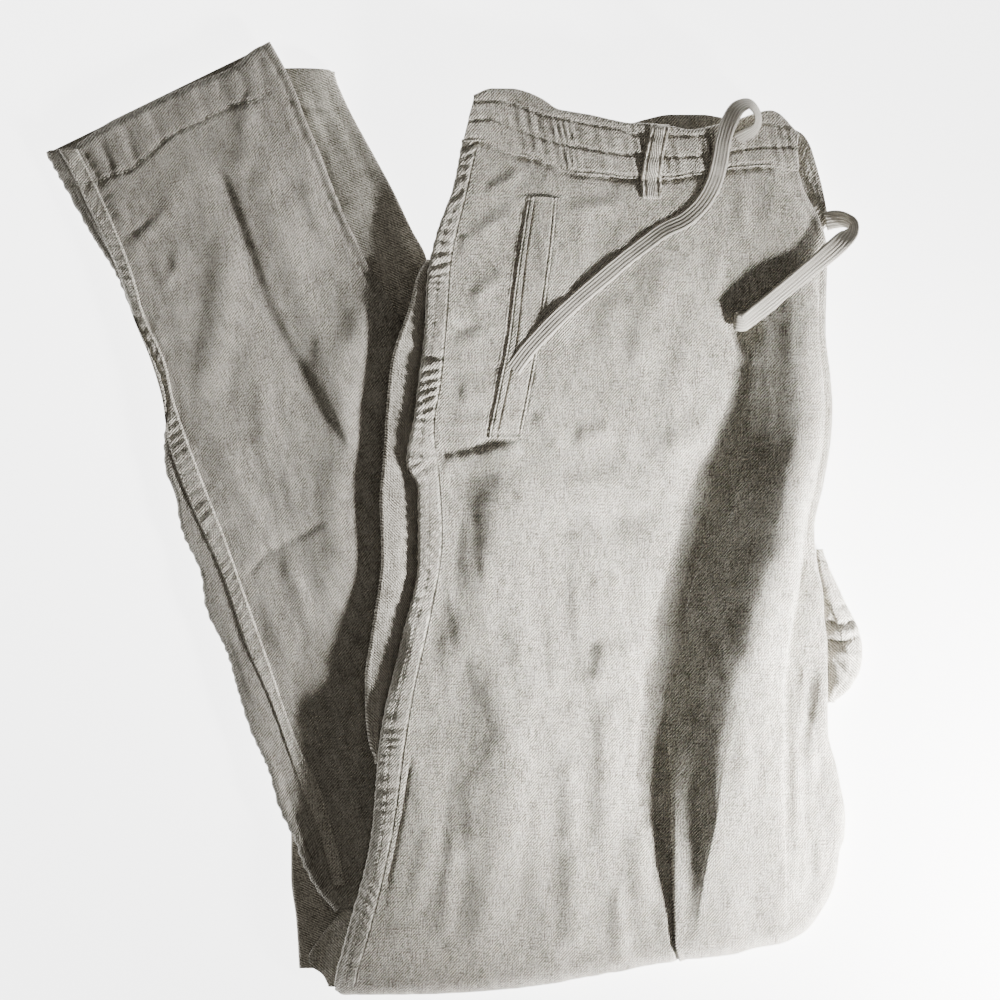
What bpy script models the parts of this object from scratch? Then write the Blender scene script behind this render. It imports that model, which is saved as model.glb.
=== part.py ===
"""Linen drawstring trousers, folded in half and laid flat, with the legs turned under at the knee.

Tables are in millimetres: +X to the right, +Y towards the waist, +Z up from the surface that the cloth lies on.
The origin is under the middle of the folded bundle. Blender gets metres.
"""

import math

import bmesh
import bpy
import numpy as np
from mathutils import Vector
from mathutils.bvhtree import BVHTree

MM = 0.001
SETTLING_STEPS = 24

# Driving dimensions, in millimetres.
CLOTH = 1.6
SEAM_GAP = 0.3
FELL_THICKNESS = 1.0
CASING_THICKNESS = 2.4
BINDING_THICKNESS = 0.9
CORD_WIDTH = 10.0
CORD_THICKNESS = 2.8
CORD_STEP = 8.0
FOLD_RADIUS = 5.0
FOLD_HEM = 6.2
LEG_EDGE_RADIUS = 2.2
OUTER_LEG_ROLL = 3.2
LOWER_LEG_HEIGHT = 4.6
LOWER_CLOTH_FLOOR = 5.0
GATHER_HEIGHT = 0.7
GATHER_PERIOD = 7.6

# Guide lines of the right thigh's front, from the side seam to the fold. Columns: y, x, height of the cloth.
SIDE_EDGE = (
    (230, 4, 23), (200, -2, 24), (175, -11, 25), (149, -17, 25), (113, -19, 25), (81, -23, 25),
    (63, -25, 25), (34, -30, 24.5), (17, -23, 24), (-26, -23, 23), (-74, -33, 21.5), (-127, -45, 19.5),
    (-203, -53, 16.5), (-252, -66, 15), (-288, -76, 13),
)
SEAM_LINE = (
    (230, 14, 23), (194, 6, 24.5), (160, -2, 25), (123, -5, 25.5), (81, -9, 25.5), (55, -13, 25),
    (26, -10, 24.5), (-12, -8, 24), (-59, -15, 23), (-105, -25, 22), (-141, -31, 21), (-191, -38, 20),
    (-252, -52, 19), (-288, -63, 18),
)
RIDGE_FOOT = (
    (224, 158, 22), (157, 170, 22), (108, 180, 21), (72, 176, 20.5), (47, 162, 20), (23, 152, 19.5),
    (-14, 142, 19), (-63, 131, 18.5), (-111, 127, 18.5), (-172, 121, 19), (-209, 125, 19.5),
    (-252, 131, 20), (-279, 135, 19),
)
RIDGE_CREST = (
    (224, 184, 20), (190, 191, 19.5), (157, 203, 19), (108, 210, 19), (72, 211, 21), (47, 206, 25), (23, 200, 28),
    (-14, 196, 31), (-50, 186, 33), (-81, 179, 34), (-111, 172, 34), (-148, 164, 34), (-185, 156, 33),
    (-221, 149, 30), (-252, 144, 26), (-279, 141, 21),
)
FLAP_EDGE = (
    (224, 193, 18), (190, 201, 17.5), (157, 214, 17), (108, 217, 16), (72, 219, 17), (35, 216, 19), (11, 210.5, 22),
    (-17, 207, 25), (-41, 206, 26), (-75, 200, 27), (-111, 196, 27), (-148, 196, 27), (-203, 197, 26),
    (-252, 195, 20),
)
FLAP_FOOT = (
    (224, 196, 17), (190, 205, 16.5), (157, 217, 16), (108, 220, 15), (72, 221.5, 16), (35, 218.5, 17), (11, 213.5, 17),
    (-17, 210, 17.5), (-41, 210, 18), (-75, 205, 19), (-111, 202, 20), (-148, 202, 21), (-203, 203, 21),
    (-252, 204, 18),
)
RIGHT_EDGE = (
    (214, 209, 15), (197, 214, 14.5), (180, 223, 14), (163, 227, 14), (114, 226, 14), (84, 229, 14),
    (66, 230, 14), (47, 229, 14), (23, 225, 14), (-8, 219, 13.5), (-30, 221, 13), (-45, 224, 13),
    (-62, 225, 13), (-79, 227, 13), (-117, 227, 14), (-136, 228, 15), (-154, 233, 16), (-178, 236, 16),
    (-200, 235, 14),
)

# Where the waistband is sewn on, and the fold at the knee. Columns: x, y.
WAIST_SEAM = (
    (3, 230), (11, 231), (20, 230), (27, 226), (34, 223), (45, 221), (57, 217), (68, 212), (88, 210),
    (108, 208), (131, 208), (142, 210), (158, 211), (167, 214), (176, 215), (191, 216), (203, 214),
    (213, 213), (227, 211),
)
KNEE_EDGE = (
    (-80, -288), (-68, -291), (-22, -292), (36, -288), (107, -276), (127, -272), (142, -270),
    (179, -264), (214, -252), (224, -239), (230, -227), (234, -212), (236, -197),
)

# Guide lines of the left lower leg. Columns: y, x, height of the cloth.
LEFT_LEG_EDGE = (
    (225, -253, 6), (200, -239, 6.4), (175, -225, 6.8), (151, -210, 7.4), (127, -200, 7.9),
    (102, -188, 8.3), (78, -179, 8.6), (66, -178, 8.6), (47, -180, 8.4), (29, -179, 8.2), (17, -174, 8.2),
    (-8, -169, 8.2), (-32, -158, 8.4), (-56, -154, 8.6), (-81, -142, 9), (-105, -135, 9),
    (-130, -127, 9.5), (-154, -116, 10), (-178, -109, 10.5), (-196, -100, 11), (-210, -95, 11.5),
    (-227, -86, 12), (-236, -78, 12), (-247, -69, 12),
)
LEFT_OUTSEAM = (
    (225, -233, 8.8), (200, -225, 8.8), (175, -214, 8.9), (147, -201, 9), (123, -190, 9),
    (96, -177.5, 9), (72, -170, 9.1), (44, -168, 9.3), (9, -156, 9.6), (-33, -139, 10),
    (-77, -124, 10.5), (-113, -110, 11), (-162, -91, 11.5), (-195, -79, 12), (-216, -72, 12.2),
    (-227, -70, 12.2), (-247, -71, 12.2),
)
LEFT_INSEAM = (
    (292, -115, 9.4), (276, -106, 9.6), (261, -99, 9.8), (242, -92, 10), (226, -85, 10.3),
    (203, -76, 10.6), (186, -69, 10.8), (167, -60, 11), (151, -52, 11), (133, -41, 11), (111, -31, 11),
    (84, -25, 11), (34, -28, 11.5), (-26, -22, 12), (-74, -32, 12), (-127, -44, 12.3),
    (-203, -53, 12.5), (-247, -64, 12.5),
)
LEFT_HEM = (
    (-253, 225), (-236, 228), (-217, 240), (-187, 255), (-160, 267), (-135, 278), (-126, 286),
    (-115, 292),
)
LEFT_LEG_END = -239.5

# Guide lines of the right lower leg, which lies under the left one. Columns: y, x.
RIGHT_LEG_LEFT = (
    (215, -208), (72, -158), (-50, -131), (-111, -117), (-148, -107), (-181, -103), (-197, -102),
    (-221, -102), (-246, -99), (-277, -97),
)
RIGHT_LEG_RIGHT = (
    (270, -75), (250, -66), (224, -52), (200, -39), (175, -27), (160, -19), (133, -16), (81, -21),
    (34, -27), (-26, -21), (-74, -31), (-127, -43), (-203, -51), (-252, -64), (-277, -72),
)
RIGHT_HEM = ((-210, 215), (-156, 247), (-120, 267), (-106, 276), (-79, 275), (-70, 266))
RIGHT_LEG_END = -277

# The right back's edge, which rolls out from under the side seam. Columns: y, x, height of the cloth.
BACK_ROLL = (
    (167, -15, 18.2), (160, -17, 18.2), (149, -24, 18.2), (128, -30, 17.7), (99, -40, 17.2),
    (65, -44, 17.2), (34, -46, 17.2), (11, -48, 17.2), (-23, -47, 17.2), (-70, -53, 16.7),
    (-100, -57, 16.2), (-127, -56, 15.9), (-139, -54, 15.9), (-146, -51, 15.9),
)

# The waistbands' top edges. Columns: x, y.
FRONT_BAND_TOP = (
    (11, 257), (22, 261), (33, 261), (39, 260), (51, 255), (60, 249), (69, 247), (81, 245), (94, 242),
    (106, 240), (115, 240), (131, 238), (142, 236), (158, 239), (170, 242), (185, 247), (191, 248),
    (196, 246), (203, 239), (208, 233),
)
BACK_BAND_TOP = (
    (12, 252), (60, 245), (94, 239), (108, 241), (115, 243), (131, 246), (150, 246), (164, 244),
    (185, 243), (198, 236), (203, 230),
)
# Height of the thigh's cloth at the knee line. Columns: x, height.
KNEE_HEIGHT = (
    (-80, 13), (-63, 17.5), (-20, 19.2), (60, 19.2), (131, 18.6), (141, 21.5), (160, 21), (196, 18.5),
    (220, 15), (236, 14),
)
# Turns down a folded edge, in degrees, the share of a hanging edge's drop made at each, and a knee's turns.
SIDE_ANGLES = (30, 60, 90, 90, 90, 90)
SIDE_HANG = (0.0, 0.0, 0.0, 0.35, 0.7, 1.0)
KNEE_ANGLES = (28, 56, 84, 112, 140, 168)
# The hidden layers' edge, from the top down. Columns: how far out, height above the floor or, below 0, under the top.
LAYER_EDGE = (
    (0.1, -0.9), (0.4, -2.2), (0.5, -4.6), (0.5, 6.6), (0.5, 5.6), (4.1, 5.0), (4.6, 3.6), (3.0, 3.0),
    (4.5, 2.4), (4.5, 0.9), (3.7, 0.0),
)
CORE_ACROSS = (0.5, 1.0, 1.25, 1.5, 1.75, 2.0, 2.25, 2.5, 2.75, 3.0, 3.5, 4.0, 5.0, 6.0)
CORE_ROWS = (1, 2, 3, 4, 6, 8, 10, 12, 14, 16, 18, 20, 22, 24, 25, 26, 27, 28, 29, 30)
CORE_GAP = 0.7
THIGH_ACROSS = (
    0.0, 0.5, 1.0, 1.09, 1.18, 1.27, 1.36, 1.45, 1.54, 1.63, 1.72, 1.81, 1.9, 2.0, 2.25, 2.5, 2.75, 3.0,
    3.33, 3.67, 4.0, 5.0, 5.5, 6.0,
)
THIGH_ROWS = 31
SEAM_KNEE_STEPS = 4
KNEE_BLEND = 0.1
# The left front's waistband. Columns: x and y of its top edge, x and y of its seam, height of the cloth.
LEFT_BAND = (
    (14, 250, 4, 232.5, 3.6), (63, 241, 57, 219, 3.6), (118, 237, 108, 210, 3.6),
    (173, 240, 160, 213, 3.6), (198, 240, 191, 218, 4.0), (210, 237, 204, 216.5, 5.0),
    (216, 230, 212.5, 212, 6.6), (220, 218, 216, 204, 8.2), (224, 203, 219, 196, 8.4),
    (226.5, 191, 223, 187, 8.0), (228.5, 180, 226.5, 178, 7.0),
)

# The slant pocket. Columns: y, x of the binding's edge, x of the slit, x of the welt's edge.
POCKET = (
    (193, 44.5, 47.5, 61), (171, 41, 44, 59), (140, 36.5, 40, 55), (105, 32, 36, 50), (78, 26.5, 30.5, 45),
    (51, 21, 24.5, 39.5),
)
POCKET_SLIT = 1.4

# The left leg's step down off the right leg. Columns: how far from the right leg's edge, least room outside it.
LEG_STEP = ((-2.5, 1.6), (-7.5, 1.1), (-12.5, 0.6))

# The belt loop. Columns: y, x of its left edge, x of its right edge, height over the cloth under it.
BELT_LOOP = (
    (239, 118, 130, 0.5), (233, 117, 129, 1.2), (224, 115, 127, 1.8), (214, 113, 125.5, 1.8),
    (206, 112, 125, 1.6), (199, 112.5, 125, 1.0), (194, 113, 125, 0.5),
)

# Routes of the drawstring's two free ends. Columns: x, y, z of the cord's middle.
DRAWSTRING_RIGHT = (
    (171, 229, 25.4), (177, 233, 26.8), (182.5, 238, 29.2), (183, 244, 31.8), (177, 251, 34.0),
    (171.5, 249, 34.8), (166, 241, 33.2), (162, 229, 30.8), (160, 217, 28.6), (157, 205, 27.4),
    (150, 192, 27.0), (139, 181.5, 27.6), (126, 175, 29.0), (115, 167, 29.8), (102, 157, 30.2),
    (89, 146, 30.0), (76, 135, 29.6), (64, 124, 29.0), (52, 112, 28.4), (42, 102, 27.8),
)
DRAWSTRING_LEFT = (
    (226, 181.5, 9.2), (231.5, 182.6, 10.4), (237.5, 182.2, 13.2), (241.6, 178.8, 17.2), (240.4, 174, 20.8),
    (234.5, 168.4, 23.0), (227, 162, 24.8), (217, 153.5, 26.6), (206, 144, 28.0), (195, 134, 28.8),
    (184, 124, 28.6), (176, 117.5, 27.6),
)

# The seat's crotch end, which bulges out past the fold. Columns: y, x of its root, x of its edge.
SEAT = (
    (-21, 220.9, 224.9), (-32, 221.9, 229), (-44, 224.6, 234.5), (-56, 225.4, 240), (-69, 226.4, 246.5),
    (-81, 227.7, 249), (-93, 227.7, 247.5), (-102, 227.7, 242), (-112, 227.7, 232),
)

# Soft ridges and troughs of the thigh's front. Columns: start x, y, end x, y, half width, height.
THIGH_FOLDS = (
    (-8, 37, 46, 45, 5, -2.2),
    (-2, 190, 42, 186, 6, 1.2),
    (-6, 84, 22, 84, 6, -1.4),
    (16, -20, 30, -110, 9, -2.4),
    (34, -92, 20, -180, 7, 2.2),
    (22, -90, 10, -240, 8, -2.0),
    (60, -195, 54, -280, 9, 1.8),
    (72, -30, 98, -130, 16, 2.2),
    (100, 60, 84, -60, 16, -1.8),
    (60, 120, 150, 90, 18, 1.6),
    (90, -140, 94, -270, 10, -1.6),
)
# The same for the left lower leg.
LEG_FOLDS = (
    (-139, 210, -113, 137, 8, -1.8),
    (-113, 137, -72, 55, 7, -2.4),
    (-72, 55, -56, -10, 7, -2.0),
    (-186, 172, -168, 186, 6, -1.2),
    (-160, 100, -150, 20, 10, 1.4),
    (-112, -28, -104, -90, 9, -1.6),
    (-128, 40, -96, -60, 14, 1.4),
    (-92, -90, -72, -160, 9, 1.6),
)

LINEN = (0.60, 0.565, 0.51, 1.0)
LINEN_SHADE = (0.52, 0.50, 0.45, 1.0)
SEAM_LINEN = (0.64, 0.61, 0.555, 1.0)
CORD_KNIT = (0.70, 0.68, 0.64, 1.0)
CLOTH_ROUGHNESS = 0.92


class Profile:
    """A smooth curve through a table's points that never overshoots them."""

    def __init__(self, keys, values):
        order = np.argsort(keys)
        self.keys = np.asarray(keys, float)[order]
        self.values = np.asarray(values, float)[order]
        steps = np.diff(self.values) / np.diff(self.keys)
        self.slopes = np.concatenate([steps[:1], 0.5 * (steps[1:] + steps[:-1]), steps[-1:]])
        turning = steps[1:] * steps[:-1] <= 0
        self.slopes[1:-1][turning] = 0.0
        limit = 3.0 * np.minimum(np.abs(steps[1:]), np.abs(steps[:-1]))
        self.slopes[1:-1] = np.clip(self.slopes[1:-1], -limit, limit)

    def __call__(self, at):
        at = np.clip(np.asarray(at, float), self.keys[0], self.keys[-1])
        left = np.clip(np.searchsorted(self.keys, at, side="right") - 1, 0, len(self.keys) - 2)
        span = self.keys[left + 1] - self.keys[left]
        t = (at - self.keys[left]) / span
        return hermite(
            self.values[left], self.values[left + 1], self.slopes[left] * span, self.slopes[left + 1] * span, t
        )


def hermite(start, end, start_slope, end_slope, t):
    square = t * t
    cube = square * t
    return (
        (2 * cube - 3 * square + 1) * start
        + (cube - 2 * square + t) * start_slope
        + (3 * square - 2 * cube) * end
        + (cube - square) * end_slope
    )


def ease(t):
    t = np.clip(t, 0.0, 1.0)
    return t * t * (3.0 - 2.0 * t)


def column(table, index):
    return [row[index] for row in table]


def profile(table, key, value):
    return Profile(column(table, key), column(table, value))


def between_guides(values, across):
    """Smooth values between guide lines: across 1.5 is halfway between the second and the third."""
    values = np.asarray(values)
    steps = np.diff(values, axis=0)
    slopes = np.zeros_like(values)
    slopes[0] = steps[0]
    slopes[-1] = steps[-1]
    if len(values) > 2:
        middle = 0.5 * (steps[1:] + steps[:-1])
        limit = 3.0 * np.minimum(np.abs(steps[1:]), np.abs(steps[:-1]))
        middle = np.clip(middle, -limit, limit)
        slopes[1:-1] = np.where(steps[1:] * steps[:-1] <= 0, 0.0, middle)
    result = np.empty(values.shape[1:])
    for index, place in enumerate(across):
        left = min(int(place), len(values) - 2)
        result[:, index] = hermite(
            values[left][:, index],
            values[left + 1][:, index],
            slopes[left][:, index],
            slopes[left + 1][:, index],
            place - left,
        )
    return result


def fold_relief(table, x, y):
    """Height of the soft folds of a table at x and y."""
    relief = np.zeros_like(x)
    for x0, y0, x1, y1, half_width, height in table:
        length = math.hypot(x1 - x0, y1 - y0)
        along_x = (x1 - x0) / length
        along_y = (y1 - y0) / length
        along = (x - x0) * along_x + (y - y0) * along_y
        aside = (x - x0) * along_y - (y - y0) * along_x
        fade = ease(along / (0.3 * length)) * ease((length - along) / (0.3 * length))
        relief += height * fade * np.exp(-((aside / half_width) ** 2))
    return relief


class Lay:
    """A stretch of cloth laid between guide lines that run down it from its head to its foot."""

    def __init__(self, guides, head, foot, folds=()):
        self.guide_x = [profile(guide, 0, 1) for guide in guides]
        self.guide_z = [profile(guide, 0, 2) for guide in guides]
        self.head = head
        self.foot = foot
        self.folds = folds

    def points(self, across, down):
        """Points of the upper face: a row for each place down, a column for each place across."""
        across = np.asarray(across, float)
        down = np.asarray(down, float)[:, None]
        grid = np.ones((len(down), len(across)))
        y = self.head(0.0) * (1 - down) + self.foot(0.0) * down
        y = y * grid
        for _ in range(SETTLING_STEPS):
            x = between_guides([guide(y) for guide in self.guide_x], across)
            y = 0.5 * y + 0.5 * (self.head(x) * (1 - down) + self.foot(x) * down)
        z = between_guides([guide(y) for guide in self.guide_z], across)
        z = z + fold_relief(self.folds, x, y)
        return np.stack([x, y, z], axis=2)


def stations(counts):
    """Places across a Lay: counts[i] equal steps from guide i to guide i + 1."""
    places = [0.0]
    for index, count in enumerate(counts):
        places += [index + (step + 1) / count for step in range(count)]
    return places


def row_places(rows):
    return np.linspace(0.0, 1.0, rows)


def moved_guide(guide, shift, height=0.0):
    return tuple((y, x + shift, z + height) for y, x, z in guide)


def with_height(guide, height):
    return tuple((y, x, height) for y, x in guide)


def outward(edge, inner):
    """Unit directions in plan that point out of a grid across its edge."""
    tangent = np.gradient(edge[:, :2], axis=0)
    direction = np.stack([tangent[:, 1], -tangent[:, 0]], axis=1)
    inside = inner[:, :2] - edge[:, :2]
    direction[(direction * inside).sum(axis=1) > 0] *= -1
    length = np.linalg.norm(direction, axis=1, keepdims=True)
    return direction / np.maximum(length, 1e-9)


def turned(points, side):
    """The grid with the named side as its last row."""
    if side in ("left", "right"):
        points = points.transpose(1, 0, 2)
    return points[::-1] if side in ("left", "head") else points


def turned_back(points, side):
    points = points[::-1] if side in ("left", "head") else points
    return points.transpose(1, 0, 2) if side in ("left", "right") else points


def rolled(points, side, radius, angles, drop_to=None):
    """Rolls one side of a grid down, through angles in degrees about a fold of this radius, then straight down."""
    points = turned(points, side)
    edge = points[-1]
    direction = outward(edge, points[-2])
    radius = np.broadcast_to(np.asarray(radius, float), (len(edge),))
    rows = list(points)
    for angle in angles:
        turn = math.radians(angle)
        row = edge.copy()
        row[:, :2] += direction * (radius * math.sin(turn))[:, None]
        row[:, 2] -= radius * (1 - math.cos(turn))
        rows.append(row)
    if drop_to is not None:
        row = rows[-1].copy()
        row[:, 2] = np.minimum(drop_to, row[:, 2] - 0.5)
        rows.append(row)
    return turned_back(np.array(rows), side)


def normals(points):
    """Unit normals of a grid's upper face."""
    down = np.gradient(points, axis=0)
    across = np.gradient(points, axis=1)
    normal = np.cross(across, -down)
    return normal / np.maximum(np.linalg.norm(normal, axis=2, keepdims=True), 1e-9)


def lifted(points, distance):
    return points + normals(points) * distance


def knee_line():
    """The line where the thigh's flat part ends and its turn at the knee begins, inside the knee's outer edge."""
    x = np.array(column(KNEE_EDGE, 0), float)
    dense = np.linspace(x[0], x[-1], 120)
    edge = np.stack([dense, profile(KNEE_EDGE, 0, 1)(dense)], axis=1)
    height = Profile(column(KNEE_HEIGHT, 0), column(KNEE_HEIGHT, 1))(dense)
    tangent = np.gradient(edge, axis=0)
    inward = np.stack([-tangent[:, 1], tangent[:, 0]], axis=1)
    inward /= np.linalg.norm(inward, axis=1, keepdims=True)
    inner = edge + inward * (height / 2)[:, None]
    keep = np.concatenate([[True], np.diff(np.maximum.accumulate(inner[:, 0])) > 0.05])
    return Profile(inner[keep, 0], inner[keep, 1])


def thigh_lay():
    guides = (
        moved_guide(SIDE_EDGE, 0.8),
        SEAM_LINE,
        RIDGE_FOOT,
        RIDGE_CREST,
        FLAP_EDGE,
        FLAP_FOOT,
        moved_guide(RIGHT_EDGE, -FOLD_RADIUS),
    )
    seam = profile(WAIST_SEAM, 0, 1)
    return Lay(guides, lambda x: seam(x) - SEAM_GAP, knee_line(), THIGH_FOLDS)


def fold_profile(height, knee):
    """How far out and how high each step down a folded edge is: a roll that hangs down, or a knee's full turn."""
    side_turn = np.radians(SIDE_ANGLES)
    hang = np.array(SIDE_HANG)
    low = height[:, None] - FOLD_RADIUS
    side_out = FOLD_RADIUS * np.sin(side_turn)[None] * np.ones_like(low)
    side_z = height[:, None] - FOLD_RADIUS * (1 - np.cos(side_turn))[None]
    side_z = side_z - hang[None] * (low - FOLD_HEM)
    radius = height[:, None] / 2
    knee_turn = np.radians(KNEE_ANGLES)
    knee_out = radius * np.sin(knee_turn)[None]
    knee_z = radius + radius * np.cos(knee_turn)[None]
    knee = np.asarray(knee)[:, None]
    return side_out * (1 - knee) + knee_out * knee, side_z * (1 - knee) + knee_z * knee


def edge_path(rows, columns):
    """Places of a grid's vertices down its right side and then back along its foot."""
    path = [(row, columns - 1) for row in range(rows)]
    return path + [(rows - 1, place) for place in range(columns - 2, -1, -1)]


def knee_share(rows, columns):
    """Along the edge path: 0 where the edge hangs as a fold, 1 where it makes the knee's full turn."""
    side = ease((row_places(rows) - 1 + KNEE_BLEND) / KNEE_BLEND)
    return np.concatenate([side, np.ones(columns - 1)])


def path_directions(spots):
    """Directions out of the edge path, evened out round its corner."""
    tangent = np.gradient(spots[:, :2], axis=0)
    direction = np.stack([-tangent[:, 1], tangent[:, 0]], axis=1)
    direction /= np.linalg.norm(direction, axis=1, keepdims=True)
    even = direction.copy()
    even[1:-1] = direction[:-2] + direction[1:-1] + direction[2:]
    return even / np.linalg.norm(even, axis=1, keepdims=True)


def skirt(points):
    """Points of the turned-down edge, a row for each place on the edge path and a column for each step down."""
    rows, columns = points.shape[:2]
    spots = np.array([points[place] for place in edge_path(rows, columns)])
    direction = path_directions(spots)
    out, z = fold_profile(spots[:, 2], knee_share(rows, columns))
    turned_down = np.zeros(out.shape + (3,))
    turned_down[:, :, :2] = spots[:, None, :2] + direction[:, None] * out[:, :, None]
    turned_down[:, :, 2] = z
    return turned_down


def thigh_grid():
    return thigh_lay().points(THIGH_ACROSS, np.linspace(0.0, 1.0, THIGH_ROWS))


def make_collection(name, shown=True):
    collection = bpy.data.collections.new(name)
    collection.hide_render = not shown
    bpy.context.scene.collection.children.link(collection)
    return collection


def make_material(name, color):
    material = bpy.data.materials.new(name)
    material.use_nodes = True
    shader = material.node_tree.nodes["Principled BSDF"]
    shader.inputs["Base Color"].default_value = color
    shader.inputs["Roughness"].default_value = CLOTH_ROUGHNESS
    shader.inputs["Metallic"].default_value = 0.0
    return material


def add_object(name, mesh, color, collection):
    mesh.materials.append(make_material(name + "_cloth", color))
    obj = bpy.data.objects.new(name, mesh)
    collection.objects.link(obj)
    return obj


def grid_mesh(name, points):
    """A grid of faces whose vertices are placed at the points, in rows and columns."""
    rows, columns = points.shape[:2]
    bm = bmesh.new()
    bmesh.ops.create_grid(bm, x_segments=columns - 1, y_segments=rows - 1, size=0.5)
    for vertex in bm.verts:
        place_across = round((vertex.co.x + 0.5) * (columns - 1))
        place_down = round((0.5 - vertex.co.y) * (rows - 1))
        vertex.co = Vector(points[place_down, place_across] * MM)
    mesh = bpy.data.meshes.new(name)
    bm.to_mesh(mesh)
    bm.free()
    mesh.shade_smooth()
    return mesh


def vertices_at(bm, spots):
    """The vertices of a mesh that lie at these spots, in millimetres."""
    at = {tuple(round(value, 7) for value in vertex.co): vertex for vertex in bm.verts}
    return [at[tuple(round(value, 7) for value in Vector(spot * MM))] for spot in spots]


def add_wall(name, mesh, color, collection, thickness):
    """A wall of cloth that lies under an open mesh of its outer face."""
    obj = add_object(name, mesh, color, collection)
    wall = obj.modifiers.new("wall", "SOLIDIFY")
    wall.thickness = thickness * MM
    wall.offset = -1.0
    wall.use_even_offset = False
    return obj


def make_cloth(name, points, color, collection, thickness=CLOTH):
    """A wall of cloth under a grid of points of its outer face."""
    return add_wall(name, grid_mesh(name, points), color, collection, thickness)


def surface_finder(objects):
    """A function that gives the highest of these objects' heights at x and y, in millimetres."""
    graph = bpy.context.evaluated_depsgraph_get()
    trees = [BVHTree.FromObject(obj, graph) for obj in objects]

    def height(x, y):
        hits = [tree.ray_cast(Vector((x * MM, y * MM, 1.0)), Vector((0, 0, -1)))[0] for tree in trees]
        found = [hit.z / MM for hit in hits if hit is not None]
        return max(found) if found else None

    return height


def draped(plan, height, lift):
    """Points over a plan grid of x and y, just clear of the surface under each point and round it."""
    rows, columns = plan.shape[:2]
    points = np.zeros((rows, columns, 3))
    points[:, :, :2] = plan
    down = np.gradient(plan, axis=0) / 2
    across = np.gradient(plan, axis=1) / 2
    for row in range(rows):
        for place in range(columns):
            around = []
            for i in (-1, 0, 1):
                for j in (-1, 0, 1):
                    spot = plan[row, place] + i * down[row, place] + j * across[row, place]
                    around.append(height(spot[0], spot[1]))
            found = [value for value in around if value is not None]
            points[row, place, 2] = max(found)
    return points + np.stack([np.zeros_like(lift), np.zeros_like(lift), lift], axis=-1)


def strip_plan(left_x, left_y, right_x, right_y, steps):
    """A plan grid between two lines that are given point by point."""
    left = np.stack([left_x, left_y], axis=1)
    right = np.stack([right_x, right_y], axis=1)
    share = np.linspace(0.0, 1.0, steps)
    return left[:, None] * (1 - share)[None, :, None] + right[:, None] * share[None, :, None]


def make_front_thigh(collection):
    """The right thigh's front: a grid of cloth whose right side and foot are turned down."""
    points = thigh_grid()
    rows, columns = points.shape[:2]
    mesh = grid_mesh("front_right", points)
    bm = bmesh.new()
    bm.from_mesh(mesh)
    ring = vertices_at(bm, [points[place] for place in edge_path(rows, columns)])
    for step in skirt(points).transpose(1, 0, 2):
        fresh = [bm.verts.new(Vector(spot * MM)) for spot in step]
        for index in range(len(ring) - 1):
            bm.faces.new((ring[index + 1], fresh[index + 1], fresh[index], ring[index]))
        ring = fresh
    bm.to_mesh(mesh)
    bm.free()
    mesh.shade_smooth()
    return add_wall("front_right", mesh, LINEN, collection, CLOTH)


def make_side_seam(collection):
    """The felled side seam, made from the front's own points moved out."""
    points = thigh_grid()
    foot = skirt(points)
    count = THIGH_ACROSS.index(1.0) + 1
    turn = foot[::-1][:count].transpose(1, 0, 2)[:SEAM_KNEE_STEPS]
    points = np.concatenate([points[:, :count], turn])
    points = lifted(points, SEAM_GAP + FELL_THICKNESS)
    points[:, 0, 0] -= 1.0
    return make_cloth("side_seam_right", points, SEAM_LINEN, collection, FELL_THICKNESS)


def make_back_roll(collection):
    """The right back, where it rolls out from under the side seam and lies on the left leg."""
    crest = moved_guide(BACK_ROLL, LEG_EDGE_RADIUS + 1.0)
    head = Profile((-60, 0), (167, 167))
    foot = Profile((-60, 0), (-146, -146))
    valley = tuple((y, x + 1.6, 15.2) for y, x, z in SIDE_EDGE)
    points = Lay((crest, valley), head, foot).points(stations((4,)), row_places(20))
    room = points[:, -1, 0] - points[:, 0, 0]
    points[:, :, 2] -= 0.6 * np.sin(np.linspace(0, math.pi, 5))[None] * ease((room - 4) / 8)[:, None]
    points = rolled(points, "left", LEG_EDGE_RADIUS, (40, 80, 115))
    return make_cloth("back_right", points, LINEN_SHADE, collection)


def left_leg_floor(x, y):
    """Height of the left leg's lower face, which steps up onto the right leg."""
    under = profile(RIGHT_LEG_LEFT, 0, 1)
    foot, top = LEG_STEP[-1][0], LEG_STEP[0][0]
    return 0.1 + (LOWER_CLOTH_FLOOR - 0.1) * np.clip((x - under(y) - foot) / (top - foot), 0, 1)


def left_leg_lay():
    inset = moved_guide(LEFT_LEG_EDGE, OUTER_LEG_ROLL)
    hem = profile(LEFT_HEM, 0, 1)
    end = Profile((-260, 0), (LEFT_LEG_END, LEFT_LEG_END))
    guides = (inset, LEFT_OUTSEAM, moved_guide(LEFT_INSEAM, -LEG_EDGE_RADIUS))
    return Lay(guides, hem, end, LEG_FOLDS)


LEG_ROWS = 23


def make_left_front(collection):
    across = [1.012] + [1 + step / 11 for step in range(1, 12)]
    points = left_leg_lay().points(across, row_places(LEG_ROWS))
    crown = np.sin(np.linspace(0, math.pi, len(across)))
    points[:, :, 2] += 1.6 * crown[None] * ease(1.2 - row_places(LEG_ROWS))[:, None]
    points = rolled(points, "right", LEG_EDGE_RADIUS, (45, 90), LOWER_CLOTH_FLOOR + CLOTH + 0.4)
    return make_cloth("front_left", points, LINEN, collection)


def left_step_column(away, down, least_x):
    """Points of the left leg's rows at a distance from the right leg's edge, but not left of least_x."""
    under = profile(RIGHT_LEG_LEFT, 0, 1)
    hem = profile(LEFT_HEM, 0, 1)
    x = np.full_like(down, -150.0)
    for _ in range(SETTLING_STEPS):
        y = hem(x) * (1 - down) + LEFT_LEG_END * down
        x = np.maximum(under(y) + away, least_x)
    return np.stack([x, y], axis=1)


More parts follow.
